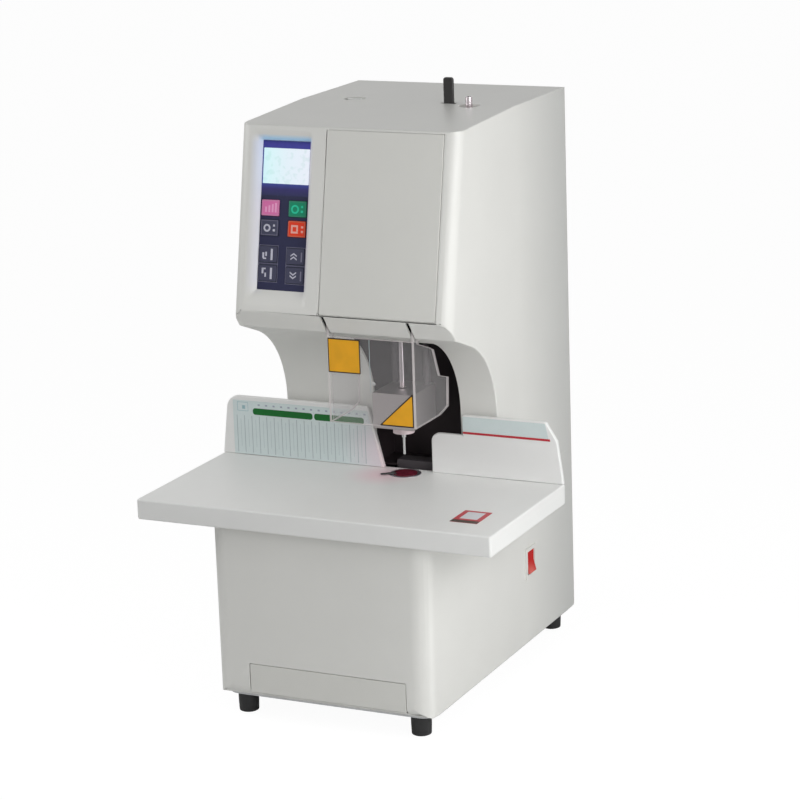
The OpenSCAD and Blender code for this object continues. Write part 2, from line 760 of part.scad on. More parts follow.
// ---- Table and backstops ----
module work_table() {
  plan = [[-stop_out, -table_front, table_corner_r], [stop_out, -table_front, table_corner_r],
    [stop_out, -table_rear, table_corner_r], [-stop_out, -table_rear, table_corner_r]];
  color("#e6e0d4") difference() {
    translate([0, 0, base_top]) linear_extrude(table_t) polygon(rounded(plan));
    bar(tool, ring_r + fit_gap, base_top - 1, table_top + 1);
    stop_screws(stop_screw_r);
  }
}
stop_screw_r = 2.5;
stop_screw_x = [-190, -150, 150, 190];
module stop_screws(r) {
  for (x = stop_screw_x) bar([x, -table_rear - stop_t / 2], r, base_top - eps, table_top + 14);
}
module stop_plate(points) {
  translate([0, -stop_rear, table_top]) rotate([90, 0, 0]) linear_extrude(stop_t) polygon(rounded(points));
}
module left_backstop() {
  color("#eae5da") difference() {
    stop_plate([[-stop_out, 0, 0], [left_stop_end, 0, 0], [left_stop_end - 0.25 * stop_h, stop_h, 4],
      [-stop_out + stop_slant, stop_h, stop_corner_r]]);
    stop_screws(stop_screw_r);
  }
}
module right_backstop() {
  step_x = right_stop_end + right_step_w;
  color("#eae5da") difference() {
    stop_plate([[right_stop_end, 0, 0], [stop_out, 0, 0], [stop_out - 0.8 * stop_slant, 0.7 * stop_h, 4],
      [stop_out - 2.3 * stop_slant, stop_h, 4], [step_x, stop_h, 2], [step_x, stop_h - right_step_drop, 0],
      [right_stop_end, stop_h - right_step_drop, 10]]);
    stop_screws(stop_screw_r);
  }
}
module backstop_screws() { color("silver") stop_screws(stop_screw_r); }
module ruler_strip() {
  right = left_stop_end - 3;
  color("#dfe4e4") translate([0, -stop_front, table_top + 1]) rotate([90, 0, 0]) linear_extrude(ruler_t)
    polygon([[right - ruler_l, 0], [right, 0], [right - 0.25 * ruler_h, ruler_h],
      [right - ruler_l, ruler_h]]);
}

// ---- Key panel ----
panel_rim = 2;
// Outline of the frame's flared opening across the panel, from the face out to the rim
function flare(face_a, face_b, rim_a, rim_b) = [[face_a, face_w - 1], [face_b, face_w - 1], [face_b, face_w],
  [rim_b - panel_rim, eps], [rim_a + panel_rim, eps], [face_a, face_w]];
module panel_frame() {
  color("#d9d3c7") on_front() difference() {
    block([panel_left, frame_low_v, face_w], [panel_right, frame_top_v, 0]);
    intersection() {
      translate([0, frame_top_v, 0]) rotate([90, 0, 0]) linear_extrude(panel_frame_l)
        polygon(flare(face_left, face_right, panel_left, panel_right));
      side_shape(panel_left, panel_right) polygon(flare(face_low_v, face_top_v, frame_low_v, frame_top_v));
    }
  }
}
module panel_holes(gap) {
  for (k = key_places) translate([face_left + k[0], face_top_v - k[1], 0])
    block([-key_w / 2 - gap, -key_h / 2 - gap, back_w - 1], [key_w / 2 + gap, key_h / 2 + gap, face_w + 1]);
}
// Columns and rows of the keys, as shares of the panel's width and length
key_cols = panel_w * [0.217, 0.792];
key_rows = panel_l * [0.45, 0.583, 0.76, 0.766];
key_places = [[key_cols[0], key_rows[0]], [key_cols[1], key_rows[0]],
  [key_cols[0], key_rows[1]], [key_cols[1], key_rows[1]],
  [key_cols[0], key_rows[2]], [key_cols[0], key_rows[2] + key_step],
  [key_cols[1], key_rows[3]], [key_cols[1], key_rows[3] + key_step]];
panel_edge = [panel_left + 4, frame_low_v + 3];
panel_end = [panel_right - 4, frame_top_v - 3];
module key_panel() {
  color("#14151f") on_front() {
    difference() {
      block([panel_edge[0], panel_edge[1], back_w], [panel_end[0], panel_end[1], face_w]);
      panel_holes(key_gap);
      block([face_left + 0.5, face_top_v - lcd_drop - lcd_h, back_w - 1],
        [face_left + panel_w - 0.5, face_top_v - lcd_drop, face_w + 1]);
    }
    for (x = [panel_edge[0] + 3, panel_end[0] - 3]) for (y = [panel_edge[1] + 3, panel_end[1] - 3])
      translate([x, y, board_w0]) cylinder(r = 2, h = back_w - board_w0 + eps);
  }
}
module lcd_window() {
  color("#c9f0f4") on_front() block([face_left + 0.5, face_top_v - lcd_drop - lcd_h, back_w],
    [face_left + panel_w - 0.5, face_top_v - lcd_drop, face_w - 0.3]);
}
module lcd_module() {
  color("#9fb7b0") on_front() block([face_left - 1, face_top_v - lcd_drop - lcd_h - 3, back_w - lcd_t],
    [face_left + panel_w + 1, face_top_v - lcd_drop + 3, back_w]);
}
module panel_board() {
  color("#1d5b36") on_front() {
    block([panel_edge[0], panel_edge[1], board_w0 - board_t], [panel_end[0], panel_end[1], board_w0]);
    block([face_left + 5, face_top_v - lcd_drop - lcd_h, board_w0 - eps],
      [face_left + panel_w - 5, face_top_v - lcd_drop, back_w - lcd_t]);
    for (k = key_places) translate([face_left + k[0], face_top_v - k[1], board_w0 - eps])
      block([-3, -3, 0], [3, 3, face_w + key_rise - key_t - key_travel - 0.2 - board_w0]);
  }
}
module key(i) {
  k = key_places[i];
  on_front() translate([face_left + k[0], face_top_v - k[1], face_w + key_rise - key_t])
    linear_extrude(key_t) polygon(rounded([[-key_w / 2, -key_h / 2, 2.5], [key_w / 2, -key_h / 2, 2.5],
      [key_w / 2, key_h / 2, 2.5], [-key_w / 2, key_h / 2, 2.5]]));
}
module key_pink() { color("#d9a6b8") key(0); }
module key_green() { color("#3ba55a") key(1); }
module key_dark() { color("#3a3c46") key(2); }
module key_red() { color("#e0502e") key(3); }
module key_left_up() { color("#3a3c46") key(4); }
module key_left_down() { color("#3a3c46") key(5); }
module key_right_up() { color("#3a3c46") key(6); }
module key_right_down() { color("#3a3c46") key(7); }

// ---- Frame ----
guide_x = [tool_x - guide_pitch / 2, tool_x + guide_pitch / 2];
feed_at = [tool_x + feed_offset, -tool_y];
rod_x = [tool_x - presser_rod_pitch / 2, tool_x + presser_rod_pitch / 2];
module c_frame() {
  back = upright_y + upright_t;
  color("#7d8285") difference() {
    union() {
      block([frame_left, upright_y, casing_low], [frame_right, back, upper_plate_top]);
      block([frame_left, back - foot_plate_d / 2, casing_low], [frame_right, back + foot_plate_d / 2,
        casing_low + foot_plate_t]);
      block([tool_x - arm_w / 2, -tool_y - 25, arm_top - arm_t], [tool_x + arm_w / 2, back, arm_top]);
      block([tool_x - ledge_w / 2, ledge_front, arm_top - eps],
        [tool_x + ledge_w / 2, ledge_rear, ledge_top]);
      block([frame_left, -plate_reach, lower_plate_z], [frame_right, back, lower_plate_top]);
      block([frame_left, -plate_reach, upper_plate_z], [frame_right, back, upper_plate_top]);
    }
    for (x = guide_x) bar([x, -tool_y], guide_r, lower_plate_z + 4, upper_plate_top + 1);
    bar(feed_at, feed_r + run_gap, lower_plate_z + 4, upper_plate_top + 1);
    bar(tool, spindle_r + 2, lower_plate_z - 1, lower_plate_top + 1);
    for (x = rod_x) bar([x, rod_y], presser_rod_r + run_gap, lower_plate_z - 1, lower_plate_top + 1);
  }
}
module guide_rods() {
  color("silver") for (x = guide_x) bar([x, -tool_y], guide_r, lower_plate_z + 4, upper_plate_top - 1);
}
module feed_motor() {
  s = 17;
  color("#2b2c2e") translate([feed_at[0], feed_at[1], upper_plate_top])
    linear_extrude(feed_motor_h) polygon(rounded([[-s, -s, 4], [s, -s, 4], [s, s, 4], [-s, s, 4]]));
}
module feed_screw() { color("silver") bar(feed_at, feed_r, lower_plate_z + 4, upper_plate_top); }
module anvil_ring() {
  color("#dcdcda") difference() {
    bar(tool, ring_r, arm_top, table_top + 0.4);
    bar(tool, pad_r + side_gap, arm_top - 1, table_top + 1);
  }
}
die_top = table_top + pad_rise - pad_t;
module lower_die() { color("#55585a") bar(tool, pad_r, arm_top, die_top); }
module cutting_pad() { color("#5a1f1c") bar(tool, pad_r, die_top, table_top + pad_rise); }
module pad_lever() {
  color("#242426") translate([tool_x, -tool_y, table_top + pad_rise]) rotate([0, 0, pad_lever_turn])
    block([3 - pad_r - pad_lever_l, -pad_lever_w / 2, 0], [3 - pad_r, pad_lever_w / 2, pad_lever_t]);
}

// ---- Carriage and spindle ----
carriage_left = guide_x[0] - guide_r - 6;
module carriage_block() {
  neck = 14;
  color("#8f9497") difference() {
    union() {
      block([carriage_left, -tool_y - carriage_d / 2, carriage_z],
        [carriage_left + carriage_w, -tool_y + carriage_d / 2, carriage_top]);
      block([tool_x - neck, -tool_y, carriage_z + 10], [tool_x + neck, motor_y + neck, carriage_top]);
    }
    for (x = guide_x) bar([x, -tool_y], guide_r + run_gap, carriage_z - 1, carriage_top + 1);
    bar(tool, spindle_r + run_gap, carriage_z - 1, carriage_top + 1);
    bar(feed_at, feed_r + 0.3, carriage_z - 1, carriage_top + 1);
  }
}
module spindle_motor() {
  color("#9a9a9c") difference() {
    bar([tool_x, motor_y], motor_r, carriage_top, carriage_top + motor_l);
    bar([tool_x, motor_y], motor_shaft_r + run_gap, carriage_top + motor_l / 2, carriage_top + motor_l + 1);
  }
}
module belt_outline(r) {
  for (y = [-tool_y, motor_y]) translate([tool_x, y]) circle(r);
  translate([tool_x - r, -tool_y]) square([2 * r, motor_pitch]);
}
module drive_belt() {
  color("#1a1a1a") translate([0, 0, pulley_z + 1]) linear_extrude(pulley_h - 2) difference() {
    belt_outline(pulley_r + 0.3 + belt_t);
    belt_outline(pulley_r + 0.3);
  }
}
module drill_spindle() {
  color("silver") difference() {
    bar(tool, spindle_r, spindle_low, pulley_z + pulley_h + 1);
    bar(tool, bit_r, spindle_low - 1, spindle_low + shank_l);
  }
}
module drill_bit() {
  color("#c9c9c9") difference() {
    union() {
      bar(tool, bit_r, bit_tip, spindle_low + shank_l);
      bar(tool, collar_r, table_top + collar_rise, table_top + collar_rise + collar_t);
    }
    bar(tool, bit_r - 0.5, bit_tip - 1, bit_tip + 20);
  }
}
module spindle_pulley() {
  color("#b9b9b9") difference() {
    bar(tool, pulley_r, pulley_z, pulley_z + pulley_h);
    bar(tool, spindle_r, pulley_z - 1, pulley_z + pulley_h + 1);
  }
}
module motor_pulley() {
  color("#b9b9b9") {
    bar([tool_x, motor_y], pulley_r, pulley_z, pulley_z + pulley_h);
    bar([tool_x, motor_y], motor_shaft_r, carriage_top + motor_l / 2 + 1, pulley_z + eps);
  }
}

// ---- Presser ----
module presser_block() {
  left = tool_x - presser_w / 2 + 1.5;
  color("#b4b6b6") difference() {
    block([left, presser_rear - presser_d, block_z], [left + presser_w, presser_rear, block_top]);
    bar(tool, presser_bore_r, block_z - 1, block_top + 1);
    for (x = rod_x) bar([x, rod_y], presser_rod_r, block_top - 12, block_top + 1);
  }
}
module presser_foot() {
  color("#d6d0c4") difference() {
    bar(tool, presser_foot_r, presser_z, block_z);
    bar(tool, presser_bore_r, presser_z - 1, block_z + 1);
  }
}
module presser_rods() {
  color("#3b3c3e") for (x = rod_x) {
    bar([x, rod_y], presser_rod_r, block_top - 12, block_top + presser_rod_l);
  }
}

// ---- Guard ----
// Outline of a guard side of depth d, seen from the right
module guard_side(d) {
  front = -guard_front;
  low = guard_low_z;
  polygon([[front, low], [front + d - 24, low], [front + d - 2, low + 5], [front + d, low + 39],
    [front + d - 23, low + 46], [front + d - 38, low + 80], [front + d - 44, guard_top_z - 17],
    [front, guard_top_z]]);
}
module guard_box() {
  x0 = guard_left;
  x1 = guard_right;
  front = -guard_front;
  arm_y = -guard_pivot_y;
  color([0.85, 0.93, 0.95, 0.5]) {
    difference() {
      union() {
        block([x0, front, guard_low_z], [x1, front + guard_t, guard_top_z]);
        side_shape(x1 - guard_t, x1) guard_side(guard_side_d);
        side_shape(x0, x0 + guard_t) guard_side(guard_left_d);
        for (x = [x0, x1 - guard_t]) side_shape(x, x + guard_t) {
          polygon([[front, guard_top_z - 12], [front + guard_arm_w - 2, guard_top_z - 12],
            [arm_y + guard_arm_w / 2 - 1, guard_pivot_z], [arm_y - guard_arm_w / 2 + 1, guard_pivot_z]]);
          translate([arm_y, guard_pivot_z]) circle(guard_arm_w / 2 - 1);
        }
      }
      cross_bar(x0 - 1, x1 + 1, arm_y, guard_pivot_z, guard_pin_r + run_gap);
    }
  }
}
bracket_y = -plate_reach - 4;
module guard_bracket() {
  ear = 3.5;
  color("#55585a") difference() {
    union() {
      block([guard_left - 6, bracket_y, lower_plate_z + 4],
        [guard_right + 6, -plate_reach, guard_pivot_z + 12]);
      for (x = [guard_left - side_gap - ear, guard_right + side_gap])
        block([x, -guard_pivot_y - 9, guard_pivot_z - 10], [x + ear, bracket_y + 1, guard_pivot_z + 10]);
    }
    cross_bar(guard_left - 20, guard_right + 20, -guard_pivot_y, guard_pivot_z, guard_pin_r);
  }
}
module guard_pins() {
  color("silver") {
    cross_bar(guard_left - 6, guard_left + guard_t + 2, -guard_pivot_y, guard_pivot_z, guard_pin_r);
    cross_bar(guard_right - guard_t - 2, guard_right + 6, -guard_pivot_y, guard_pivot_z, guard_pin_r);
  }
}

// ---- Electrics ----
module power_supply() {
  x0 = tool_x - 8;
  y0 = upright_y + upright_t + foot_plate_d / 2 + 2;
  color("#a9acae") difference() {
    block([x0, y0, casing_low], [x0 + supply_w, min(y0 + supply_d, casing_rear - flange_w - 1),
      casing_low + supply_h]);
    for (i = [0:5]) block([x0 + 12 + 14 * i, y0 + 6, casing_low + supply_h - 2],
      [x0 + 18 + 14 * i, y0 + 36, casing_low + supply_h + 1]);
  }
}
board_x = -half_w + flange_w + 2;
board_y = casing_rear - flange_w - 4 - board_d;
module at_standoffs() {
  for (x = [6, board_w - 6]) for (y = [6, board_d - 6])
    translate([board_x + x, board_y + y, casing_low]) children();
}
module board_standoffs() { color("gold") at_standoffs() cylinder(r = standoff_r, h = standoff_h); }
module control_board() {
  z0 = casing_low + standoff_h;
  color("#1d5b36") union() {
    block([board_x, board_y, z0], [board_x + board_w, board_y + board_d, z0 + board_t]);
    block([board_x + 14, board_y + 20, z0 + board_t - eps], [board_x + 54, board_y + 54, z0 + 30]);
    for (i = [0:2])
      translate([board_x + 30 + 18 * i, board_y + 80, z0 + board_t - eps]) cylinder(r = 7, h = 26);
    block([board_x + 20, board_y + 100, z0 + board_t - eps], [board_x + 50, board_y + 130, z0 + 5]);
  }
}
module switch_frame() {
  out_l = switch_cut_l + 2 * switch_rim;
  out_w = switch_cut_w + 2 * switch_rim;
  color("#1c1c1e") translate([half_w, switch_y, switch_z]) difference() {
    union() {
      block([0, -out_w / 2, -out_l / 2], [2, out_w / 2, out_l / 2]);
      block([-18, -switch_cut_w / 2, -switch_cut_l / 2], [eps, switch_cut_w / 2, switch_cut_l / 2]);
    }
    block([-15, -rocker_w / 2 - side_gap, -rocker_l / 2 - side_gap], [3, rocker_w / 2 + side_gap,
      rocker_l / 2 + side_gap]);
    translate([-2, 0, 0]) rotate([90, 0, 0])
      cylinder(r = trunnion_r + run_gap, h = rocker_w + 2 * trunnion_l + run_gap, center = true);
  }
}
trunnion_r = 1.5;
trunnion_l = 1.4;
module rocker_key() {
  half = rocker_l / 2 - 0.8;
  color("#9c1c16") translate([half_w - 2, switch_y, switch_z]) rotate([0, -rocker_tilt, 0])
    rotate([90, 0, 0]) {
    linear_extrude(rocker_w, center = true)
      polygon([[-4, 3 - half], [4.5, -half], [2.6, 0], [4.5, half], [-4, half - 3], [-7, 0]]);
    cylinder(r = trunnion_r, h = rocker_w + 2 * trunnion_l, center = true);
  }
}

// ---- Top fittings ----
pivot_z = casing_top - lever_pivot;
module top_lever() {
  color("#1a1a1b") translate([lever_x, lever_y + lever_t / 2, 0]) rotate([90, 0, 0]) linear_extrude(lever_t)
    difference() {
      union() {
        polygon(rounded([[-lever_w / 2, pivot_z, 0], [lever_w / 2, pivot_z, 0],
          [lever_w / 2, casing_top + lever_rise, 3], [-lever_w / 2, casing_top + lever_rise, 3]]));
        translate([0, pivot_z]) circle(lever_w / 2);
      }
      translate([0, pivot_z]) circle(lever_pin_r + run_gap);
    }
}
module lever_bracket() {
  ear = 3;
  in = lever_t / 2 + side_gap;
  color("#8c8f91") difference() {
    union() {
      for (s = [-in - ear, in])
        block([lever_x - 14, lever_y + s, pivot_z - 8],
          [lever_x + 14, lever_y + s + ear, casing_top - casing_wall]);
      block([lever_x - 14, lever_y - in - ear, pivot_z - 12],
        [lever_x + 14, lever_y + in + ear, pivot_z - 8]);
    }
    translate([lever_x, lever_y + 20, pivot_z]) rotate([90, 0, 0]) cylinder(r = lever_pin_r, h = 40);
  }
}
module lever_pin() {
  pin_l = lever_t + 2 * side_gap + 8;
  color("silver") translate([lever_x, lever_y + pin_l / 2, pivot_z]) rotate([90, 0, 0])
    cylinder(r = lever_pin_r, h = pin_l);
}
module tube_guide() {
  top = casing_top + tube_rise;
  color("silver") difference() {
    union() {
      bar([tube_x, tube_y], tube_r, top - tube_l, top);
      bar([tube_x, tube_y], tube_r + 2.5, casing_top - cup_depth - casing_wall - 3,
        casing_top - cup_depth - casing_wall);
    }
    bar([tube_x, tube_y], tube_bore_r, top - tube_l - 1, top + 1);
  }
}
module top_knob() {
  floor_z = casing_top - cup_depth;
  color("#d9d4ca") {
    bar([-knob_x, knob_y], knob_r, floor_z + 0.2, floor_z + 2.4);
    bar([-knob_x, knob_y], knob_stem_r, floor_z - casing_wall - 2, floor_z + 0.2 + eps);
    bar([-knob_x, knob_y], knob_stem_r + 2.5, floor_z - casing_wall - 4, floor_z - casing_wall - 0.2);
    block([-knob_x - knob_r + 2.5, knob_y - 1.6, floor_z + 2.3],
      [-knob_x + knob_r - 2.5, knob_y + 1.6, floor_z + 5.2]);
  }
}

// ---- Chip tray ----
module chip_tray() {
  front = -base_front;
  back = front + tray_d;
  color("#e6e0d4") difference() {
    union() {
      block([tray_left, front, tray_z], [tray_right, front + 3, tray_z + tray_h]);
      block([tray_left + 2, front + 2, tray_z + 1], [tray_right - 2, back, tray_z + tray_h - 3]);
    }
    block([tray_left + 2 + tray_wall, front + 3, tray_z + 1 + tray_wall],
      [tray_right - 2 - tray_wall, back - tray_wall, tray_z + tray_h + 1]);
  }
}
module tray_rails() {
  lift = tray_z + 1 - side_gap - casing_low;
  color("#a9acae") for (s = [-1, 1]) {
    edge = s < 0 ? tray_left + 2 : tray_right - 2;
    side_shape(s < 0 ? edge - 6 : edge - 8, s < 0 ? edge + 8 : edge + 6)
      polygon([[-base_front + flange_w + 10, casing_low], [-base_front + tray_d, casing_low],
        [-base_front + tray_d, casing_low + lift], [-base_front + flange_w + 10, casing_low + lift]]);
  }
}

base_plate();
rubber_feet();
foot_screws();
main_casing();
rear_cover();
rear_cover_screws();
front_cover();
throat_liner();
work_table();
left_backstop();
right_backstop();
backstop_screws();
ruler_strip();
panel_frame();
key_panel();
lcd_module();
lcd_window();
panel_board();
c_frame();
feed_motor();
guide_rods();
anvil_ring();
lower_die();
power_supply();
control_board();
board_standoffs();
mains_inlet();
switch_frame();
tube_guide();
lever_bracket();
lever_pin();
guard_bracket();
guard_box();
guard_pins();
carriage_block();
spindle_motor();
drive_belt();
drill_spindle();
drill_bit();
spindle_pulley();
motor_pulley();
presser_block();
presser_foot();
presser_rods();
feed_screw();
cutting_pad();
pad_lever();
rocker_key();
top_lever();
top_knob();
chip_tray();
tray_rails();
key_pink();
key_green();
key_dark();
key_red();
key_left_up();
key_left_down();
key_right_up();
key_right_down();
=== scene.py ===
"""Looks of a document riveting machine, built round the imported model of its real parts.

Every length on the machine and its floor is written in millimetres and turned into metres by MM. The
places of the camera and the lamps are in metres. X points right, Y points back and Z points up, with
the origin on the ground below the middle of the machine.
"""
import json
import math

import bmesh
import bpy
import numpy as np
from mathutils import Matrix


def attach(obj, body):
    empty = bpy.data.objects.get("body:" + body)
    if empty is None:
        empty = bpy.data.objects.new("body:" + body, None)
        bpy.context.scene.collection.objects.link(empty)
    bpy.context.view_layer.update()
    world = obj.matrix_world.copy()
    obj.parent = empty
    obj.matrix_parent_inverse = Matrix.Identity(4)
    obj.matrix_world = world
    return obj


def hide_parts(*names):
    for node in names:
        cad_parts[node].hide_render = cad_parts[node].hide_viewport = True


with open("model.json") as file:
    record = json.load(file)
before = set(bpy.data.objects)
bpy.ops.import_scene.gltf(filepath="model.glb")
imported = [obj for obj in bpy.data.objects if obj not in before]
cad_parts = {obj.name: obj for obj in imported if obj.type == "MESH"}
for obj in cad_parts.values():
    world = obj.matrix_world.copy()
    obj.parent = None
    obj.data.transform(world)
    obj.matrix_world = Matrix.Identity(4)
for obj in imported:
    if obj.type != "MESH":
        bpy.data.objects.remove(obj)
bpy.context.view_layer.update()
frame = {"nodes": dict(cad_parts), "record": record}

MM = 0.001

# ---- Places and sizes that many pieces share, in millimetres ----
HEAD_LEAN = math.radians(11.15)
HEAD_TOP_EDGE = (0.0, -92.115, 668.035)
TABLE_TOP = 255.0
STOP_FRONT = -19.0
GUARD_FRONT = -119.0
GUARD_LEFT = -23.5
GUARD_RIGHT = 85.0
PANEL_LEFT = -109.0
PANEL_TOP = -17.0
PANEL_W = 60.0
PANEL_L = 169.0
PANEL_DEPTH = 8.0
PANEL_RIGHT = PANEL_LEFT + PANEL_W
PANEL_LOW = PANEL_TOP - PANEL_L
FILM = 0.06  # thickness of a printed mark
WIDE = 500.0  # farther out than any piece


# ---------------------------------------------------------------- camera
def view_axes(yaw, pitch, roll):
    """Right, up and forward vectors of a camera turned by yaw, tipped down by pitch and rolled."""
    forward = np.array([-math.sin(yaw) * math.cos(pitch), math.cos(yaw) * math.cos(pitch), -math.sin(pitch)])
    level = np.array([math.cos(yaw), math.sin(yaw), 0.0])
    upright = np.cross(level, forward)
    right = level * math.cos(roll) + upright * math.sin(roll)
    up = upright * math.cos(roll) - level * math.sin(roll)
    return right, up, forward


def placed(place, right, up, back):
    """Matrix of a camera or a lamp that stands at a place and looks away from back."""
    turn = Matrix([[right[i], up[i], back[i], 0.0] for i in range(3)] + [[0.0, 0.0, 0.0, 1.0]])
    return Matrix.Translation(place) @ turn


def make_camera():
    """Long lens, to the right of the machine and a little above its table, as in the photograph."""
    data = bpy.data.cameras.new("view")
    data.lens = 126.0
    data.sensor_width = 36.0
    data.clip_start = 0.1
    camera = bpy.data.objects.new("view", data)
    place = (1.38266, -2.85162, 1.15557)
    yaw, pitch, roll = (math.radians(angle) for angle in (25.73, 14.56, -1.99))
    right, up, forward = view_axes(yaw, pitch, roll)
    camera.matrix_world = placed(place, right, up, -forward)
    bpy.context.collection.objects.link(camera)
    bpy.context.scene.camera = camera


# ---------------------------------------------------------------- materials
def start_material(name):
    """New node material with its tree, its shader and the piece's own coordinates."""
    material = bpy.data.materials.new(name)
    material.use_nodes = True
    tree = material.node_tree
    shader = tree.nodes["Principled BSDF"]
    place = tree.nodes.new("ShaderNodeTexCoord")
    return material, tree, shader, place.outputs["Object"]


def noise(tree, place, scale, detail, stretch=(1.0, 1.0, 1.0)):
    """Noise of the given scale per metre; a stretch below one draws it out along that axis."""
    mapping = tree.nodes.new("ShaderNodeMapping")
    mapping.inputs["Scale"].default_value = stretch
    tree.links.new(place, mapping.inputs["Vector"])
    texture = tree.nodes.new("ShaderNodeTexNoise")
    texture.inputs["Scale"].default_value = scale
    texture.inputs["Detail"].default_value = detail
    tree.links.new(mapping.outputs["Vector"], texture.inputs["Vector"])
    return texture.outputs["Fac"]


def ranged(tree, value, first, last, low=0.0, high=1.0, curve="LINEAR"):
    """Maps a value from the range first to last onto the range low to high, held at its ends."""
    node = tree.nodes.new("ShaderNodeMapRange")
    node.interpolation_type = curve
    for socket, number in {"From Min": first, "From Max": last, "To Min": low, "To Max": high}.items():
        node.inputs[socket].default_value = number
    tree.links.new(value, node.inputs["Value"])
    return node.outputs["Result"]


def spread(tree, value, low, high):
    """Maps the middle of a noise, 0.3 to 0.7, onto the range from low to high."""
    return ranged(tree, value, 0.3, 0.7, low, high)


def blend_colours(tree, factor, first, second):
    """Mixes two colours by a factor."""
    mix = tree.nodes.new("ShaderNodeMix")
    mix.data_type = "RGBA"
    mix.inputs["A"].default_value = (*first, 1.0)
    mix.inputs["B"].default_value = (*second, 1.0)
    tree.links.new(factor, mix.inputs["Factor"])
    return mix.outputs["Result"]


def raise_bump(tree, shader, height, distance):
    """Lets a height stand out of the surface by a distance in millimetres."""
    bump = tree.nodes.new("ShaderNodeBump")
    bump.inputs["Distance"].default_value = distance * MM
    bump.inputs["Strength"].default_value = 1.0
    tree.links.new(height, bump.inputs["Height"])
    tree.links.new(bump.outputs["Normal"], shader.inputs["Normal"])


def ramp(tree, value, stops):
    """Colour along a value from 0 to 1 through the stops (place, colour)."""
    node = tree.nodes.new("ShaderNodeValToRGB")
    band = node.color_ramp
    while len(band.elements) < len(stops):
        band.elements.new(0.5)
    for element, (where, colour) in zip(band.elements, stops):
        element.position = where
        element.color = (*colour, 1.0)
    tree.links.new(value, node.inputs["Fac"])
    return node.outputs["Color"]


def along(tree, place, axis, first, last):
    """Runs from 0 to 1 as the coordinate named by axis goes from first to last, in millimetres."""
    parts = tree.nodes.new("ShaderNodeSeparateXYZ")
    tree.links.new(place, parts.inputs[0])
    return ranged(tree, parts.outputs[axis], first * MM, last * MM)


def worked_out(tree, operation, first, second):
    """Result of an operation on two values, either of which may be a plain number."""
    node = tree.nodes.new("ShaderNodeMath")
    node.operation = operation
    for socket, value in zip(node.inputs, (first, second)):
        if isinstance(value, float):
            socket.default_value = value
        else:
            tree.links.new(value, socket)
    return node.outputs[0]


def product(tree, first, second):
    """Multiplies two values."""
    return worked_out(tree, "MULTIPLY", first, second)


def near(tree, place, centre, radius):
    """One at a centre, falling to nothing at a radius, both in millimetres."""
    apart = tree.nodes.new("ShaderNodeVectorMath")
    apart.operation = "DISTANCE"
    apart.inputs[1].default_value = tuple(c * MM for c in centre)
    tree.links.new(place, apart.inputs[0])
    return ranged(tree, apart.outputs["Value"], 0.0, radius * MM, 1.0, 0.0, "SMOOTHSTEP")


def tint(tree, shader, factor, colour):
    """Mixes a colour into what already feeds the shader's colour."""
    before = shader.inputs["Base Color"].links[0].from_socket
    mix = tree.nodes.new("ShaderNodeMix")
    mix.data_type = "RGBA"
    tree.links.new(factor, mix.inputs["Factor"])
    tree.links.new(before, mix.inputs["A"])
    mix.inputs["B"].default_value = (*colour, 1.0)
    tree.links.new(mix.outputs["Result"], shader.inputs["Base Color"])


def piece_place(tree):
    """The node that gives the piece's own coordinates."""
    return next(node for node in tree.nodes if node.bl_idname == "ShaderNodeTexCoord")


def painted_light_near(material, centre, radius, colour, share):
    """Paints a pool of coloured light into a finish round a centre."""
    tree = material.node_tree
    factor = product(tree, near(tree, piece_place(tree).outputs["Object"], centre, radius), share)
    tint(tree, tree.nodes["Principled BSDF"], factor, colour)
    return material


def shaded_sides(material, colour, share):
    """Painted shade: darkens the upright side faces from the middle of the machine towards its rear."""
    tree = material.node_tree
    place = piece_place(tree)
    parts = tree.nodes.new("ShaderNodeSeparateXYZ")
    tree.links.new(place.outputs["Normal"], parts.inputs[0])
    square = product(tree, parts.outputs["X"], parts.outputs["X"])
    back = along(tree, place.outputs["Object"], "Y", 66.0, 205.0)
    tint(tree, tree.nodes["Principled BSDF"], product(tree, product(tree, square, back), share), colour)
    return material


def lit_frame(material):
    """Painted display light and shade on the walls round the key panel: blue above it, lavender on its left,
    a darker lilac right.
    """
    tree = material.node_tree
    place = piece_place(tree).outputs["Object"]
    shader = tree.nodes["Principled BSDF"]

    def between(axis, rise, fall):
        """One in the middle; each pair of places runs from where it is nothing to where it is one."""
        return product(tree, along(tree, place, axis, *rise), along(tree, place, axis, *fall))

    beside = between("Z", (478.0, 496.0), (658.0, 648.0))
    upper = along(tree, place, "Z", 560.0, 640.0)
    left = product(tree, between("X", (-121.0, -111.0), (-100.0, -104.0)), beside)
    right = product(tree, between("X", (-60.0, -52.0), (-41.0, -47.0)), beside)
    above = between("Z", (647.0, 651.0), (657.5, 652.5))
    across = between("X", (-114.0, -106.0), (-43.0, -50.0))
    tint(tree, shader, product(tree, left, 0.55), (0.72, 0.72, 0.86))
    tint(tree, shader, product(tree, product(tree, left, upper), 0.5), (0.55, 0.66, 0.92))
    tint(tree, shader, product(tree, right, 0.45), (0.62, 0.56, 0.70))
    tint(tree, shader, product(tree, product(tree, above, across), 0.9), (0.42, 0.70, 0.95))
    return material


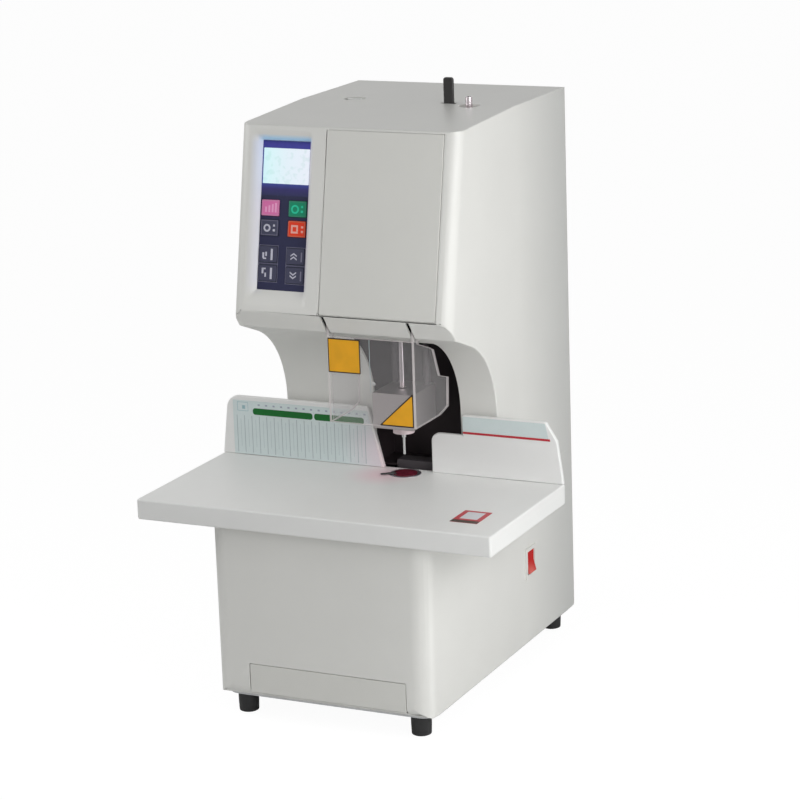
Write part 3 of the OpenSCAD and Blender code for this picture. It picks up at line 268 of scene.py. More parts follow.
def finish_material(name, colour, rough, metal=0.0, shade=0.94, grain=900.0, grain_height=0.02,
                    cloud=14.0, stretch=(1.0, 1.0, 1.0), rough_spread=0.06, specular=0.5, coat=0.0):
    """Moulded or painted surface: a slow cloud in its colour, a fine grain in its height and roughness."""
    material, tree, shader, place = start_material(name)
    slow = spread(tree, noise(tree, place, cloud, 4.0, stretch), 0.0, 1.0)
    darker = tuple(channel * shade for channel in colour)
    tree.links.new(blend_colours(tree, slow, colour, darker), shader.inputs["Base Color"])
    fine = noise(tree, place, grain, 2.0, stretch)
    tree.links.new(spread(tree, fine, rough - rough_spread, rough + rough_spread), shader.inputs["Roughness"])
    shader.inputs["Metallic"].default_value = metal
    shader.inputs["Specular IOR Level"].default_value = specular
    shader.inputs["Coat Weight"].default_value = coat
    raise_bump(tree, shader, fine, grain_height)
    return material


def clear_material(name, colour, rough, see_through):
    """Clear acrylic: mostly see-through, with a glossy face that has a few faint scratches."""
    material, tree, shader, place = start_material(name)
    scratch = noise(tree, place, 60.0, 6.0, (1.0, 1.0, 14.0))
    tree.links.new(spread(tree, scratch, rough, rough + 0.1), shader.inputs["Roughness"])
    haze = spread(tree, noise(tree, place, 25.0, 3.0), 0.0, 1.0)
    duller = tuple(channel * 0.96 for channel in colour)
    tree.links.new(blend_colours(tree, haze, colour, duller), shader.inputs["Base Color"])
    shader.inputs["Alpha"].default_value = see_through
    shader.inputs["IOR"].default_value = 1.49
    shader.inputs["Specular IOR Level"].default_value = 0.8
    raise_bump(tree, shader, scratch, 0.01)
    return material


def glow_material(name, strength, axis, first, last, stops):
    """Lit display: a glow whose colour changes along an axis, with faint blobs, behind a smooth face."""
    material, tree, shader, place = start_material(name)
    colour = ramp(tree, along(tree, place, axis, first, last), stops)
    blobs = ranged(tree, noise(tree, place, 170.0, 1.0), 0.52, 0.66, 0.0, 0.55)
    mix = tree.nodes.new("ShaderNodeMix")
    mix.data_type = "RGBA"
    mix.blend_type = "MULTIPLY"
    tree.links.new(blobs, mix.inputs["Factor"])
    tree.links.new(colour, mix.inputs["A"])
    mix.inputs["B"].default_value = (0.8, 0.9, 0.85, 1.0)
    tree.links.new(mix.outputs["Result"], shader.inputs["Emission Color"])
    shader.inputs["Base Color"].default_value = (0.012, 0.014, 0.03, 1.0)
    shader.inputs["Specular IOR Level"].default_value = 0.12
    shader.inputs["Emission Strength"].default_value = strength
    shader.inputs["Roughness"].default_value = 0.3
    return material


def make_materials():
    """Every finish of the machine by name."""
    along_z = (1.0, 1.0, 0.03)
    along_x = (0.03, 1.0, 1.0)
    white = (0.735, 0.735, 0.705)
    grain = {"shade": 0.975, "grain": 1500.0, "grain_height": 0.012}
    # pink of the painted red light round the presser on the table and the backstop
    pink = (0.86, 0.50, 0.58)
    display = glow_material("display_glow", 0.97, "X", -108.0, PANEL_RIGHT, [
        (0.0, (0.64, 0.90, 0.95)), (0.15, (0.70, 0.93, 0.95)), (0.5, (0.78, 0.89, 0.95)),
        (1.0, (0.83, 0.87, 0.95))])
    border = glow_material("display_border", 0.80, "Z", 588.0, 652.0, [
        (0.0, (0.026, 0.028, 0.072)), (0.13, (0.036, 0.028, 0.13)), (0.24, (0.05, 0.07, 0.33)),
        (0.80, (0.045, 0.055, 0.30)), (0.90, (0.05, 0.045, 0.30)), (1.0, (0.010, 0.024, 0.10))])
    casing = finish_material("casing_plastic", white, 0.42, **grain)
    table = finish_material("table_laminate", (0.80, 0.805, 0.79), 0.45, shade=0.98, grain=1100.0,
                            grain_height=0.015)
    stop = finish_material("backstop_plastic", (0.82, 0.82, 0.81), 0.40, shade=0.98)
    strip = finish_material("strip_film", (0.66, 0.745, 0.745), 0.32, shade=0.96, cloud=40.0)
    rocker = finish_material("rocker_red", (0.52, 0.008, 0.008), 0.4, shade=0.85, specular=0.1)
    return {
        # painted shade: the casing's side faces grow darker towards the rear
        "casing": shaded_sides(casing, (0.46, 0.47, 0.46), 0.55),
        # painted display light and shade on the bezel round the key panel
        "bezel": lit_frame(finish_material("bezel_plastic", white, 0.42, **grain)),
        "cover": finish_material("cover_plastic", (0.69, 0.69, 0.655), 0.40, **grain),
        # painted light: pink pools of red light round the presser on the table and the backstop
        "table": painted_light_near(table, (6, -46, 255), 52, pink, 0.55),
        "stop": painted_light_near(stop, (0, -19, 262), 50, pink, 0.35),
        "panel": finish_material("panel_film", (0.036, 0.038, 0.085), 0.5, grain=2500.0, grain_height=0.004,
                                 specular=0.12),
        "black": finish_material("black_plastic", (0.018, 0.017, 0.017), 0.38, shade=0.7, coat=0.1),
        "liner": finish_material("liner_black", (0.036, 0.027, 0.030), 0.55, shade=0.6, specular=0.25),
        "rubber": finish_material("rubber", (0.020, 0.020, 0.021), 0.62, shade=0.7, grain=700.0,
                                  grain_height=0.05),
        "steel": finish_material("brushed_steel", (0.60, 0.60, 0.60), 0.30, 1.0, grain=1600.0,
                                 stretch=along_x),
        "satin": finish_material("satin_steel", (0.46, 0.42, 0.42), 0.48, 1.0, grain=1200.0),
        "chrome": finish_material("chrome", (0.84, 0.76, 0.80), 0.12, 1.0, grain=1600.0, stretch=along_z,
                                  grain_height=0.004, rough_spread=0.04),
        "zinc": finish_material("zinc_plate", (0.55, 0.56, 0.57), 0.38, 1.0, shade=0.85, cloud=120.0),
        "iron": finish_material("painted_iron", (0.085, 0.075, 0.082), 0.55, shade=0.8, grain=500.0,
                                grain_height=0.08),
        "alloy": finish_material("turned_alloy", (0.66, 0.65, 0.70), 0.36, 1.0, grain=1500.0,
                                 stretch=(1.0, 1.0, 8.0)),
        "brass": finish_material("brass", (0.70, 0.52, 0.22), 0.32, 1.0),
        "board": finish_material("board_green", (0.02, 0.13, 0.05), 0.35, shade=0.7, cloud=200.0),
        # painted light: a pink pool of red light on the ruler strip round the presser
        "strip": painted_light_near(strip, (-6, -19, 275), 62, (0.80, 0.62, 0.70), 0.6),
        "pad": finish_material("pad_nylon", (0.17, 0.010, 0.030), 0.4, shade=0.35, cloud=160.0),
        "foot": finish_material("presser_foot_grey", (0.74, 0.62, 0.64), 0.4, shade=0.95),
        # painted light: a paler salmon patch on the rocker key
        "rocker": painted_light_near(rocker, (136, 72, 108), 22, (0.74, 0.20, 0.17), 1.0),
        "pink": finish_material("key_pink", (0.80, 0.20, 0.47), 0.45, shade=0.9, specular=0.2),
        "pink_rim": finish_material("key_pink_rim", (0.66, 0.28, 0.46), 0.45, specular=0.2),
        "pink_sign": finish_material("key_pink_sign", (0.90, 0.42, 0.66), 0.45, specular=0.2),
        "green": finish_material("key_green", (0.012, 0.28, 0.15), 0.45, shade=0.9, specular=0.2),
        "green_rim": finish_material("key_green_rim", (0.05, 0.24, 0.16), 0.45, specular=0.2),
        "green_sign": finish_material("key_green_sign", (0.03, 0.62, 0.38), 0.45, specular=0.2),
        "red": finish_material("key_red", (0.84, 0.055, 0.020), 0.45, shade=0.92, specular=0.2),
        "red_rim": finish_material("key_red_rim", (0.66, 0.16, 0.09), 0.45, specular=0.2),
        "red_sign": finish_material("key_red_sign", (0.92, 0.46, 0.40), 0.45, specular=0.2),
        "navy": finish_material("key_navy", (0.070, 0.072, 0.120), 0.5, shade=0.9, specular=0.15),
        "navy_rim": finish_material("key_navy_rim", (0.15, 0.15, 0.22), 0.5, specular=0.15),
        "navy_sign": finish_material("key_navy_sign", (0.60, 0.60, 0.70), 0.5, specular=0.15),
        "print_dim": finish_material("print_dim", (0.24, 0.23, 0.32), 0.5, specular=0.15),
        "print_white": finish_material("print_white", (0.68, 0.69, 0.72), 0.4),
        "print_grey": finish_material("print_grey", (0.40, 0.47, 0.49), 0.4),
        "print_pale": finish_material("print_pale", (0.50, 0.585, 0.60), 0.4),
        "print_blob": finish_material("print_blob", (0.38, 0.42, 0.50), 0.4),
        "print_teal": finish_material("print_teal", (0.34, 0.52, 0.56), 0.4),
        "print_green": finish_material("print_green", (0.006, 0.14, 0.022), 0.35, specular=0.3),
        "print_red": finish_material("print_red", (0.50, 0.02, 0.035), 0.35),
        "print_black": finish_material("print_black", (0.030, 0.016, 0.006), 0.4),
        "print_yellow": finish_material("print_yellow", (0.88, 0.42, 0.010), 0.35, shade=0.88, cloud=60.0),
        "border": border,
        "display": display,
        "clear": clear_material("clear_acrylic", (0.60, 0.58, 0.59), 0.04, 0.13),
        "clear_edge": clear_material("clear_acrylic_edge", (0.74, 0.69, 0.69), 0.15, 0.70),
        "window": clear_material("display_window", (0.85, 0.95, 1.0), 0.03, 0.10),
    }


# ---------------------------------------------------------------- outlines and solids
class Plane:
    """A flat face of the machine: an origin and three unit vectors, right, up and outwards."""

    def __init__(self, origin, right, up):
        self.origin = np.array(origin, float)
        self.right = np.array(right, float)
        self.up = np.array(up, float)
        self.out = np.cross(self.right, self.up)

    def points(self, a, b, c):
        """Points at a along right, b along up and c outwards, as rows of x, y, z."""
        a, b, c = np.broadcast_arrays(a, b, c)
        return (self.origin + a[..., None] * self.right + b[..., None] * self.up + c[..., None] * self.out)


HEAD_FACE = Plane(HEAD_TOP_EDGE, (1, 0, 0), (0, math.sin(HEAD_LEAN), math.cos(HEAD_LEAN)))
STOP_FACE = Plane((0, STOP_FRONT, TABLE_TOP), (1, 0, 0), (0, 0, 1))
GUARD_FACE = Plane((0, GUARD_FRONT, TABLE_TOP), (1, 0, 0), (0, 0, 1))
TABLE_FACE = Plane((0, 0, TABLE_TOP), (1, 0, 0), (0, 1, 0))
STEPS = 6  # segments of a rounded corner
ROLL_BEND = math.radians(30.0)  # the least bend of an edge that is rolled over


def unit(v):
    """The vector v scaled to length one."""
    return v / np.linalg.norm(v)


def outline(corners, inset=0.0):
    """Closed outline through corners (a, b, radius), moved inwards by inset.

    Each side moves along its inward normal, two moved sides meet at q + d (g + h) / (1 + g.h),
    and a corner of radius r becomes an arc of radius r - d, so every inset has as many points."""
    corners = np.array(corners, float)
    places = corners[:, :2]
    before = np.roll(places, 1, axis=0)
    after = np.roll(places, -1, axis=0)
    rows = []
    for p, q, s, radius in zip(before, places, after, corners[:, 2]):
        e, f = unit(q - p), unit(s - q)
        g, h = np.array([-e[1], e[0]]), np.array([-f[1], f[0]])
        middle = q + inset * (g + h) / (1.0 + g @ h)
        bend = e[0] * f[1] - e[1] * f[0]
        r = max(radius - inset if bend > 0 else radius + inset, 0.02)
        half = math.acos(np.clip(-e @ f, -1, 1)) / 2.0
        centre = middle + unit(f - e) * r / math.sin(half)
        first = middle - e * r / math.tan(half) - centre
        start = math.atan2(first[1], first[0])
        sweep = (math.pi - 2.0 * half) * (1 if bend > 0 else -1)
        angles = start + sweep * np.linspace(0.0, 1.0, STEPS + 1)
        rows.append(centre + r * np.stack([np.cos(angles), np.sin(angles)], axis=1))
    return np.concatenate(rows)


def box_corners(left, right, low, high, radius):
    """Corners of an upright rectangle with one radius, anticlockwise."""
    return [(left, low, radius), (right, low, radius), (right, high, radius), (left, high, radius)]


def add_mesh(name, points, faces, smooth=True):
    """A mesh object at the origin from points in millimetres."""
    mesh = bpy.data.meshes.new(name)
    mesh.from_pydata((np.asarray(points) * MM).tolist(), [], faces)
    mesh.polygons.foreach_set("use_smooth", [smooth] * len(mesh.polygons))
    mesh.update()
    piece = bpy.data.objects.new(name, mesh)
    bpy.context.collection.objects.link(piece)
    return piece


def ring_quads(count, rings):
    """Quads that join each of several rings of count points to the next ring."""
    here = np.arange(count)
    following = (here + 1) % count
    one = np.stack([here, following, following + count, here + count], axis=1)
    return (one + count * np.arange(rings - 1)[:, None, None]).reshape(-1, 4).tolist()


def carried(name, plane, corners, profile):
    """Solid made by carrying a profile round an outline: at the profile's point (d, h) the outline is
    inset by d and stands h outwards of the plane. The first and last outlines are closed by flat caps."""
    rings = [plane.points(*outline(corners, d).T, h) for d, h in profile]
    count = len(rings[0])
    cap = np.arange(count)
    faces = ring_quads(count, len(rings)) + [cap[::-1].tolist(), (cap + (len(rings) - 1) * count).tolist()]
    piece = add_mesh(name, np.concatenate(rings), faces)
    sharpen(piece)
    piece.data.polygons.foreach_set("use_smooth", [True] * (len(faces) - 2) + [False, False])
    return piece


def sharpen(piece, angle=38.0):
    """Keeps edges that bend more than the angle crisp in the shading."""
    piece.data.set_sharp_from_angle(angle=math.radians(angle))


def edge_profile(low, high, edge):
    """Profile of a slab from low to high whose outer rim is a quarter circle of radius edge."""
    turn = np.linspace(0.0, math.pi / 2, 5)
    return [(0.0, low)] + [(edge * (1 - math.cos(t)), high - edge + edge * math.sin(t)) for t in turn]


def slab(name, plane, corners, low, high, edge, material, body):
    """Rounded plate on a plane, from height low to height high, with a soft rim."""
    piece = carried(name, plane, corners, edge_profile(low, high, edge))
    dress(piece, material, body)
    return piece


def turned(name, centre, profile, steps=64, axis="z"):
    """Surface of revolution: the profile's points (radius, height) turned about an upright axis or Y."""
    profile = np.array(profile, float)
    angles = np.linspace(0.0, 2.0 * math.pi, steps, endpoint=False)
    radius, height = profile[:, 0][:, None], profile[:, 1][:, None]
    x = radius * np.cos(angles)
    y = radius * np.sin(angles)
    z = np.broadcast_to(height, x.shape)
    points = np.stack([x, y, z], axis=-1).reshape(-1, 3)
    if axis == "y":
        points = points[:, [1, 2, 0]]
    faces = ring_quads(steps, len(profile))
    cap = np.arange(steps)
    if profile[0, 0] > 0:
        faces.append(cap[::-1].tolist())
    if profile[-1, 0] > 0:
        faces.append((cap + (len(profile) - 1) * steps).tolist())
    piece = add_mesh(name, points + np.array(centre, float), faces)
    tidy_mesh(piece)
    sharpen(piece)
    return piece


def tidy_mesh(piece):
    """Merges doubled points and turns every face outwards."""
    bm = bmesh.new()
    bm.from_mesh(piece.data)
    bmesh.ops.remove_doubles(bm, verts=bm.verts, dist=1e-6)
    bmesh.ops.recalc_face_normals(bm, faces=bm.faces)
    bm.to_mesh(piece.data)
    bm.free()


def dress(piece, material, body):
    """Gives a piece its finish and the body that it rides on."""
    piece.data.materials.clear()
    piece.data.materials.append(finishes[material])
    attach(piece, body)


def body_of_node(node):
    """The body that lists a node."""
    for body, nodes in frame["record"]["behaviour"]["bodies"].items():
        if node in nodes:
            return body
    raise KeyError(node)


def edge_weights(mesh, crisp):
    """Bevel weight of every edge: 1 where its two faces bend by more than ROLL_BEND, 0 elsewhere and
    0 for edges that lie whole in one of the crisp boxes (low corner, high corner), in millimetres."""
    count = len(mesh.edges)
    loops = np.empty(len(mesh.loops), int)
    mesh.loops.foreach_get("edge_index", loops)
    totals = np.empty(len(mesh.polygons), int)
    mesh.polygons.foreach_get("loop_total", totals)
    normals = np.empty(3 * len(mesh.polygons))
    mesh.polygons.foreach_get("normal", normals)
    owner = np.repeat(np.arange(len(totals)), totals)[np.argsort(loops, kind="stable")]
    uses = np.bincount(loops, minlength=count)
    first = np.concatenate([[0], np.cumsum(uses)[:-1]])
    pair = normals.reshape(-1, 3)[np.stack([owner[first], owner[first + uses - 1]], axis=1)]
    weight = (np.einsum("ij,ij->i", pair[:, 0], pair[:, 1]) < math.cos(ROLL_BEND)).astype(float)
    ends = np.empty(2 * count, int)
    mesh.edges.foreach_get("vertices", ends)
    places = np.empty(3 * len(mesh.vertices))
    mesh.vertices.foreach_get("co", places)
    ends = places.reshape(-1, 3)[ends.reshape(-1, 2)] / MM
    for low, high in crisp:
        inside = np.all((ends > np.array(low)) & (ends < np.array(high)), axis=(1, 2))
        weight[inside] = 0.0
    return weight


def merged_copy(node, cuts=(), split=False):
    """Copy of a solid with its doubled points merged, cut along planes (axis, place in millimetres).

    Faces with openings in them are split into triangles first, so that rolled edges don't close them."""
    mesh = frame["nodes"][node].data.copy()
    mesh.name = node + "_soft"
    piece = bpy.data.objects.new(node + "_soft", mesh)
    bpy.context.collection.objects.link(piece)
    bm = bmesh.new()
    bm.from_mesh(mesh)
    bmesh.ops.remove_doubles(bm, verts=bm.verts, dist=2e-6)
    bmesh.ops.dissolve_limit(bm, angle_limit=math.radians(0.5), verts=bm.verts, edges=bm.edges)
    for axis, where in cuts:
        normal = tuple(float(i == axis) for i in range(3))
        bmesh.ops.bisect_plane(bm, geom=bm.verts[:] + bm.edges[:] + bm.faces[:], dist=1e-6,
                               plane_co=tuple(where * MM * n for n in normal), plane_no=normal)
    if split:
        bmesh.ops.triangulate(bm, faces=bm.faces)
    bm.to_mesh(mesh)
    bm.free()
    stored = mesh.attributes.get("custom_normal")
    if stored:
        mesh.attributes.remove(stored)
    mesh.edges.foreach_set("use_edge_sharp", [False] * len(mesh.edges))
    mesh.polygons.foreach_set("use_smooth", [True] * len(mesh.polygons))
    return piece


def roll_edges(piece, width, segments, crisp=(), rim=-1):
    """Rolls over the sharp edges of a piece by a width in millimetres; the rim may have its own finish.

    Large faces then lead the shading, so that they look flat up to a rolled edge."""
    mesh = piece.data
    rolled = edge_weights(mesh, crisp)
    weights = mesh.attributes.new("bevel_weight_edge", "FLOAT", "EDGE")
    weights.data.foreach_set("value", rolled)
    if crisp:
        hard = edge_weights(mesh, ()) - rolled
        mesh.edges.foreach_set("use_edge_sharp", hard > 0.5)
    bevel = piece.modifiers.new("rolled_edges", "BEVEL")
    bevel.width = width * MM
    bevel.segments = segments
    bevel.limit_method = "WEIGHT"
    bevel.use_clamp_overlap = not crisp
    bevel.material = rim
    weigh = piece.modifiers.new("flat_faces", "WEIGHTED_NORMAL")
    weigh.keep_sharp = True
    weigh.weight = 90


def soften(node, width, material, segments=3, crisp=(), split=False):
    """A merged copy of a solid whose sharp edges are rolled over by a radius in millimetres."""
    piece = merged_copy(node, split=split)
    roll_edges(piece, width, segments, crisp)
    dress(piece, material, body_of_node(node))
    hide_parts(node)


def keep(node, material):
    """A solid that keeps its own shape and gets a finish."""
    mesh = frame["nodes"][node].data
    mesh.materials.clear()
    mesh.materials.append(finishes[material])


# ---------------------------------------------------------------- the machine
# Boxes (low corner, high corner) round edges of the casing that stay crisp.
CASING_CRISP = [
    ((-135, -WIDE, 464.5), (135, WIDE, 800)),  # openings in the head's face and top
    ((-135, -220, 0), (135, -212, 90)),  # opening for the chip tray
    ((-135, -211, 0), (135, WIDE, 420)),  # inside of the base and the column
    ((-135, 190, 0), (135, WIDE, 800)),  # opening behind the rear cover
    ((-135, -112, 415), (135, WIDE, 464)),  # inside of the head
    ((130, 40, 90), (140, 110, 160)),  # opening for the switch
    ((-25, -150, 415), (-19, WIDE, 470)),  # left slot of the guard
    ((80, -150, 415), (87, WIDE, 470)),  # right slot of the guard
    ((-WIDE, 210, 0), (WIDE, WIDE, 800)),  # rear edges
]
TABLE_CRISP = [((-217, -224, 200), (217, WIDE, 300))]
STOP_CRISP = [((-200, -18.5, 200), (-140, -13.5, 270)), ((140, -18.5, 200), (200, -13.5, 270))]


def make_casing():
    """Casing, table, backstops, chip tray and liner with rolled edges, and the two covers."""
    soften("main_casing", 1.6, "casing", split=True, crisp=CASING_CRISP)
    soften("work_table", 2.2, "table", crisp=TABLE_CRISP)
    soften("left_backstop", 1.4, "stop", crisp=STOP_CRISP)
    soften("right_backstop", 1.4, "stop", crisp=STOP_CRISP)
    keep("rear_cover", "casing")
    soften("chip_tray", 0.9, "cover", 2)
    soften("throat_liner", 0.4, "liner", 2)
    corners = box_corners(-25.5, 117.8, -209.6, -2.8, 2.0)
    cover = slab("front_cover_face", HEAD_FACE, corners, -1.8, 0.0, 0.9, "cover", "root")
    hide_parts("front_cover")


def frame_surface():
    """Flared frame round the key panel: rings from the head's face down to the panel.

    Ring s stands at h = level - PANEL_DEPTH s^1.7. Its left, lower and upper sides close in evenly, and
    its right side keeps a flat strip before the wall. A square ring fills the head's opening before the
    first one, and a last ring goes down behind the panel's film."""
    outer_left, outer_right, outer_low, outer_high, wall_right = -121.6, -27.1, -207.5, -4.6, -41.6
    level = 0.02
    s = np.linspace(0.0, 1.0, 15)
    height = -PANEL_DEPTH * s ** 1.7 + level
    left = outer_left + (PANEL_LEFT - outer_left) * s
    right = np.where(s > 0.0, wall_right + (PANEL_RIGHT - wall_right) * s, outer_right)
    low = outer_low + (PANEL_LOW - outer_low) * s
    high = outer_high + (PANEL_TOP - outer_high) * s
    radius = 7.0 * (1.0 - s) ** 0.7 + 0.6
    sides = np.stack([left, right, low, high, radius, height], axis=1)
    square = [[outer_left - 0.1, outer_right + 0.1, outer_low - 0.1, outer_high + 0.1, 0.3, level]]
    behind = [[PANEL_LEFT, PANEL_RIGHT, PANEL_LOW, PANEL_TOP, 0.6, -PANEL_DEPTH - 2.0]]
    sides = np.concatenate([square, sides, behind])
    rings = [HEAD_FACE.points(*outline(box_corners(a, b, c, d, r)).T, h) for a, b, c, d, r, h in sides]
    piece = add_mesh("panel_frame_flare", np.concatenate(rings), ring_quads(len(rings[0]), len(rings)))
    sharpen(piece, 50.0)
    dress(piece, "bezel", "root")
    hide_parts("panel_frame")


def make_panel():
    """Flared frame, dark key film and the lit display with its darker border."""
    frame_surface()
    keep("key_panel", "panel")
    bottom = -PANEL_DEPTH - 0.5
    border = box_corners(PANEL_LEFT + 0.1, PANEL_RIGHT - 0.1, PANEL_TOP - 62.0, PANEL_TOP - 0.1, 0.4)
    slab("display_border_face", HEAD_FACE, border, bottom, -PANEL_DEPTH + 0.05, 0.03, "border", "root")
    glow = box_corners(PANEL_LEFT + 1.5, PANEL_RIGHT - 0.3, PANEL_TOP - 48.6, PANEL_TOP - 8.6, 0.5)
    slab("display_glow_face", HEAD_FACE, glow, bottom, -PANEL_DEPTH + 0.12, 0.03, "display", "root")
    keep("lcd_window", "window")
    keep("lcd_module", "board")
    keep("panel_board", "board")


# Each key's place right of the panel's left edge and below its top, and its finish.
KEYS = {
    "key_pink": (13.02, 76.05, "pink"), "key_green": (47.52, 76.05, "green"),
    "key_dark": (13.02, 98.53, "navy"), "key_red": (47.52, 98.53, "red"),
    "key_left_up": (13.02, 128.44, "navy"), "key_left_down": (13.02, 149.94, "navy"),
    "key_right_up": (47.52, 129.45, "navy"), "key_right_down": (47.52, 150.95, "navy"),
}
KEY_W, KEY_H, KEY_T, KEY_EDGE = 22.0, 18.0, 6.0, 0.3
RIM_W, RIM_H = 21.2, 17.2
KEY_TOP = -PANEL_DEPTH + 1.1
KEY_LOW = KEY_TOP - KEY_T + KEY_EDGE
PAIR_PITCH = 21.5


def make_keys():
    """Eight flat caps with their signs, each on its own body, and the frames round the two pairs.

    The four upper keys have a printed rim, and the two on the lower right a bar at their side."""
    rim_level, sign_level = KEY_TOP + 0.03, KEY_TOP + 0.05
    for name, (u, v, finish) in KEYS.items():
        a, b = PANEL_LEFT + u, PANEL_TOP - v
        body = name + "_cap"
        corners = box_corners(a - KEY_W / 2, a + KEY_W / 2, b - KEY_H / 2, b + KEY_H / 2, 1.2)
        cap = slab(body, HEAD_FACE, corners, KEY_LOW, KEY_TOP, KEY_EDGE, finish, body)
        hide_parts(name)
        if "left" not in name and "right" not in name:
            rim = frame_rows(a - RIM_W / 2, a + RIM_W / 2, b - RIM_H / 2, b + RIM_H / 2, 1.0)
            printed(name + "_rim", HEAD_FACE, rim, rim_level, finish + "_rim", body)
        printed(name + "_sign", HEAD_FACE, key_sign(name, a, b), sign_level, finish + "_sign", body)
        if name.startswith("key_right"):
            side_bar = [bar_rows(a + 7.0, a + 8.6, b - 6.0, b + 5.0)]
            printed(name + "_side", HEAD_FACE, side_bar, sign_level, "print_dim", body)
    for side in ("left", "right"):
        u, v, _ = KEYS["key_" + side + "_up"]
        a, b = PANEL_LEFT + u, PANEL_TOP - v
        half, wide = KEY_W / 2 + 0.5, 0.9
        rows = frame_rows(a - half - wide, a + half + wide, b - PAIR_PITCH - 10.4, b + 10.4, wide)
        rows.append(bar_rows(a - half, a + half, b - 11.15, b - 10.35))
        printed("key_pair_frame_" + side, HEAD_FACE, rows, -PANEL_DEPTH + 0.05, "navy_rim", "root")
        fill = [bar_rows(a - half, a + half, b - 12.1, b - 9.4)]
        printed("key_pair_fill_" + side, HEAD_FACE, fill, -PANEL_DEPTH + 0.03, "navy", "root")


def frame_rows(left, right, low, high, wide):
    """Four bars that make a rectangle's outline."""
    return [bar_rows(left, right, high - wide, high), bar_rows(left, right, low, low + wide),
            bar_rows(left, left + wide, low + wide, high - wide),
            bar_rows(right - wide, right, low + wide, high - wide)]


def key_sign(name, a, b):
    """Plain marks on a key: bars, a square and dots, a ring and dots, or a pair of chevrons."""
    if name == "key_pink":
        return [bar_rows(a - 6.4, a - 4.2, b - 5.0, b + 1.0), bar_rows(a - 2.2, a, b - 5.0, b + 2.6),
                bar_rows(a + 2.0, a + 4.2, b - 5.0, b + 4.2), bar_rows(a + 6.0, a + 8.2, b - 5.0, b + 5.6)]
    if name == "key_red":
        return frame_rows(a - 7.0, a + 1.8, b - 5.0, b + 4.4, 2.1) + [
            bar_rows(a + 5.6, a + 8.4, b + 1.2, b + 3.6), bar_rows(a + 5.6, a + 8.4, b - 4.0, b - 1.6)]
    if name in ("key_dark", "key_green"):
        wide = 4.4 if name == "key_dark" else 5.0
        return [ring_rows(a - 3.0, b - 0.4, wide, wide - 2.0), bar_rows(a + 4.6, a + 7.0, b + 1.4, b + 3.8),
                bar_rows(a + 4.4, a + 7.2, b - 4.0, b - 1.4)]
    way = 1.0 if name.endswith("up") else -1.0
    if name.startswith("key_right"):
        return [chevron_rows(a - 2.0, b + (shift - 2.6) * way, way) for shift in (0.0, 3.8)]
    return [bar_rows(a - 7.4, a - 5.0, b - 2.0 * way - 2.6, b - 2.0 * way + 3.6),
            bar_rows(a - 3.6, a - 1.6, b + way - 3.4, b + way + 1.4),
            bar_rows(a - 6.4, a - 2.4, b - 5.0 * way - 0.8, b - 5.0 * way + 0.8),
            bar_rows(a + 3.2, a + 5.8, b - 6.6, b + 6.2)]


def bar_rows(left, right, low, high):
    """Four corners of a printed bar."""
    return np.array([(left, low), (right, low), (right, high), (left, high)])[None]


def ring_rows(a, b, outer, inner):
    """Quads of a printed ring: at angle t the two radii give a point each."""
    t = np.linspace(0.0, 2.0 * math.pi, 29)
    way = np.stack([np.cos(t), np.sin(t)], axis=1)
    far, close = way * outer + (a, b), way * inner + (a, b)
    return np.stack([close[:-1], far[:-1], far[1:], close[1:]], axis=1)


def chevron_rows(a, b, way):
    """Two slanted quads that meet in a point above or below b."""
    half, rise, thick = 4.0, 2.8, 1.7
    tip, foot = b + rise * way, b
    left = [(a - half, foot), (a - half, foot - thick * way), (a, tip - thick * way), (a, tip)]
    right = [(a, tip), (a, tip - thick * way), (a + half, foot - thick * way), (a + half, foot)]
    quads = np.array([left, right])
    return quads if way > 0 else quads[:, ::-1]


def printed(name, plane, rows, height, material, body):
    """Printed marks: each quad is a film of its own, with its face at a height above the plane."""
    quads = np.concatenate(rows)
    count = len(quads)
    a, b = quads[..., 0].ravel(), quads[..., 1].ravel()
    points = np.concatenate([plane.points(a, b, height - FILM), plane.points(a, b, height)])
    first = 4 * np.arange(count)[:, None]
    rise = 4 * count
    low = first + np.array([3, 2, 1, 0])
    top = first + rise + np.array([0, 1, 2, 3])
    sides = [first + np.array([i, (i + 1) % 4, (i + 1) % 4 + rise, i + rise]) for i in range(4)]
    faces = np.concatenate([low, top] + sides).tolist()
    piece = add_mesh(name, points, faces, smooth=False)
    dress(piece, material, body)


def make_ruler():
    """Ruler strip: lines every 10 mm, fainter ones between them, two green bars, dots and a box."""
    keep("ruler_strip", "strip")
    height = 0.56
    places = np.arange(-199.0, -22.0, 10.0)
    lines = [bar_rows(x - 0.4, x + 0.4, 3.0, 48.5) for x in places]
    printed("ruler_lines", STOP_FACE, lines, height, "print_grey", "root")
    fine_lines = [bar_rows(x + 4.7, x + 5.3, 10.0, 44.0) for x in places[:-1]]
    printed("ruler_fine_lines", STOP_FACE, fine_lines, height, "print_pale", "root")
    blobs = [bar_rows(x - 1.4, x + 1.4, 61.6, 63.6) for x in places[3:]]
    printed("ruler_blobs", STOP_FACE, blobs, height, "print_blob", "root")
    box = frame_rows(-198.0, -183.5, 54.0, 65.0, 0.5) + [bar_rows(-191.5, -187.5, 56.5, 61.0)]
    printed("ruler_box", STOP_FACE, box, height, "print_teal", "root")
    for name, left, right in (("long", -177.3, -97.4), ("short", -95.3, -30.0)):
        bar = box_corners(left, right, 50.4, 58.4, 3.2)
        slab("ruler_bar_" + name, STOP_FACE, bar, 0.4, height + 0.04, 0.03, "print_green", "root")


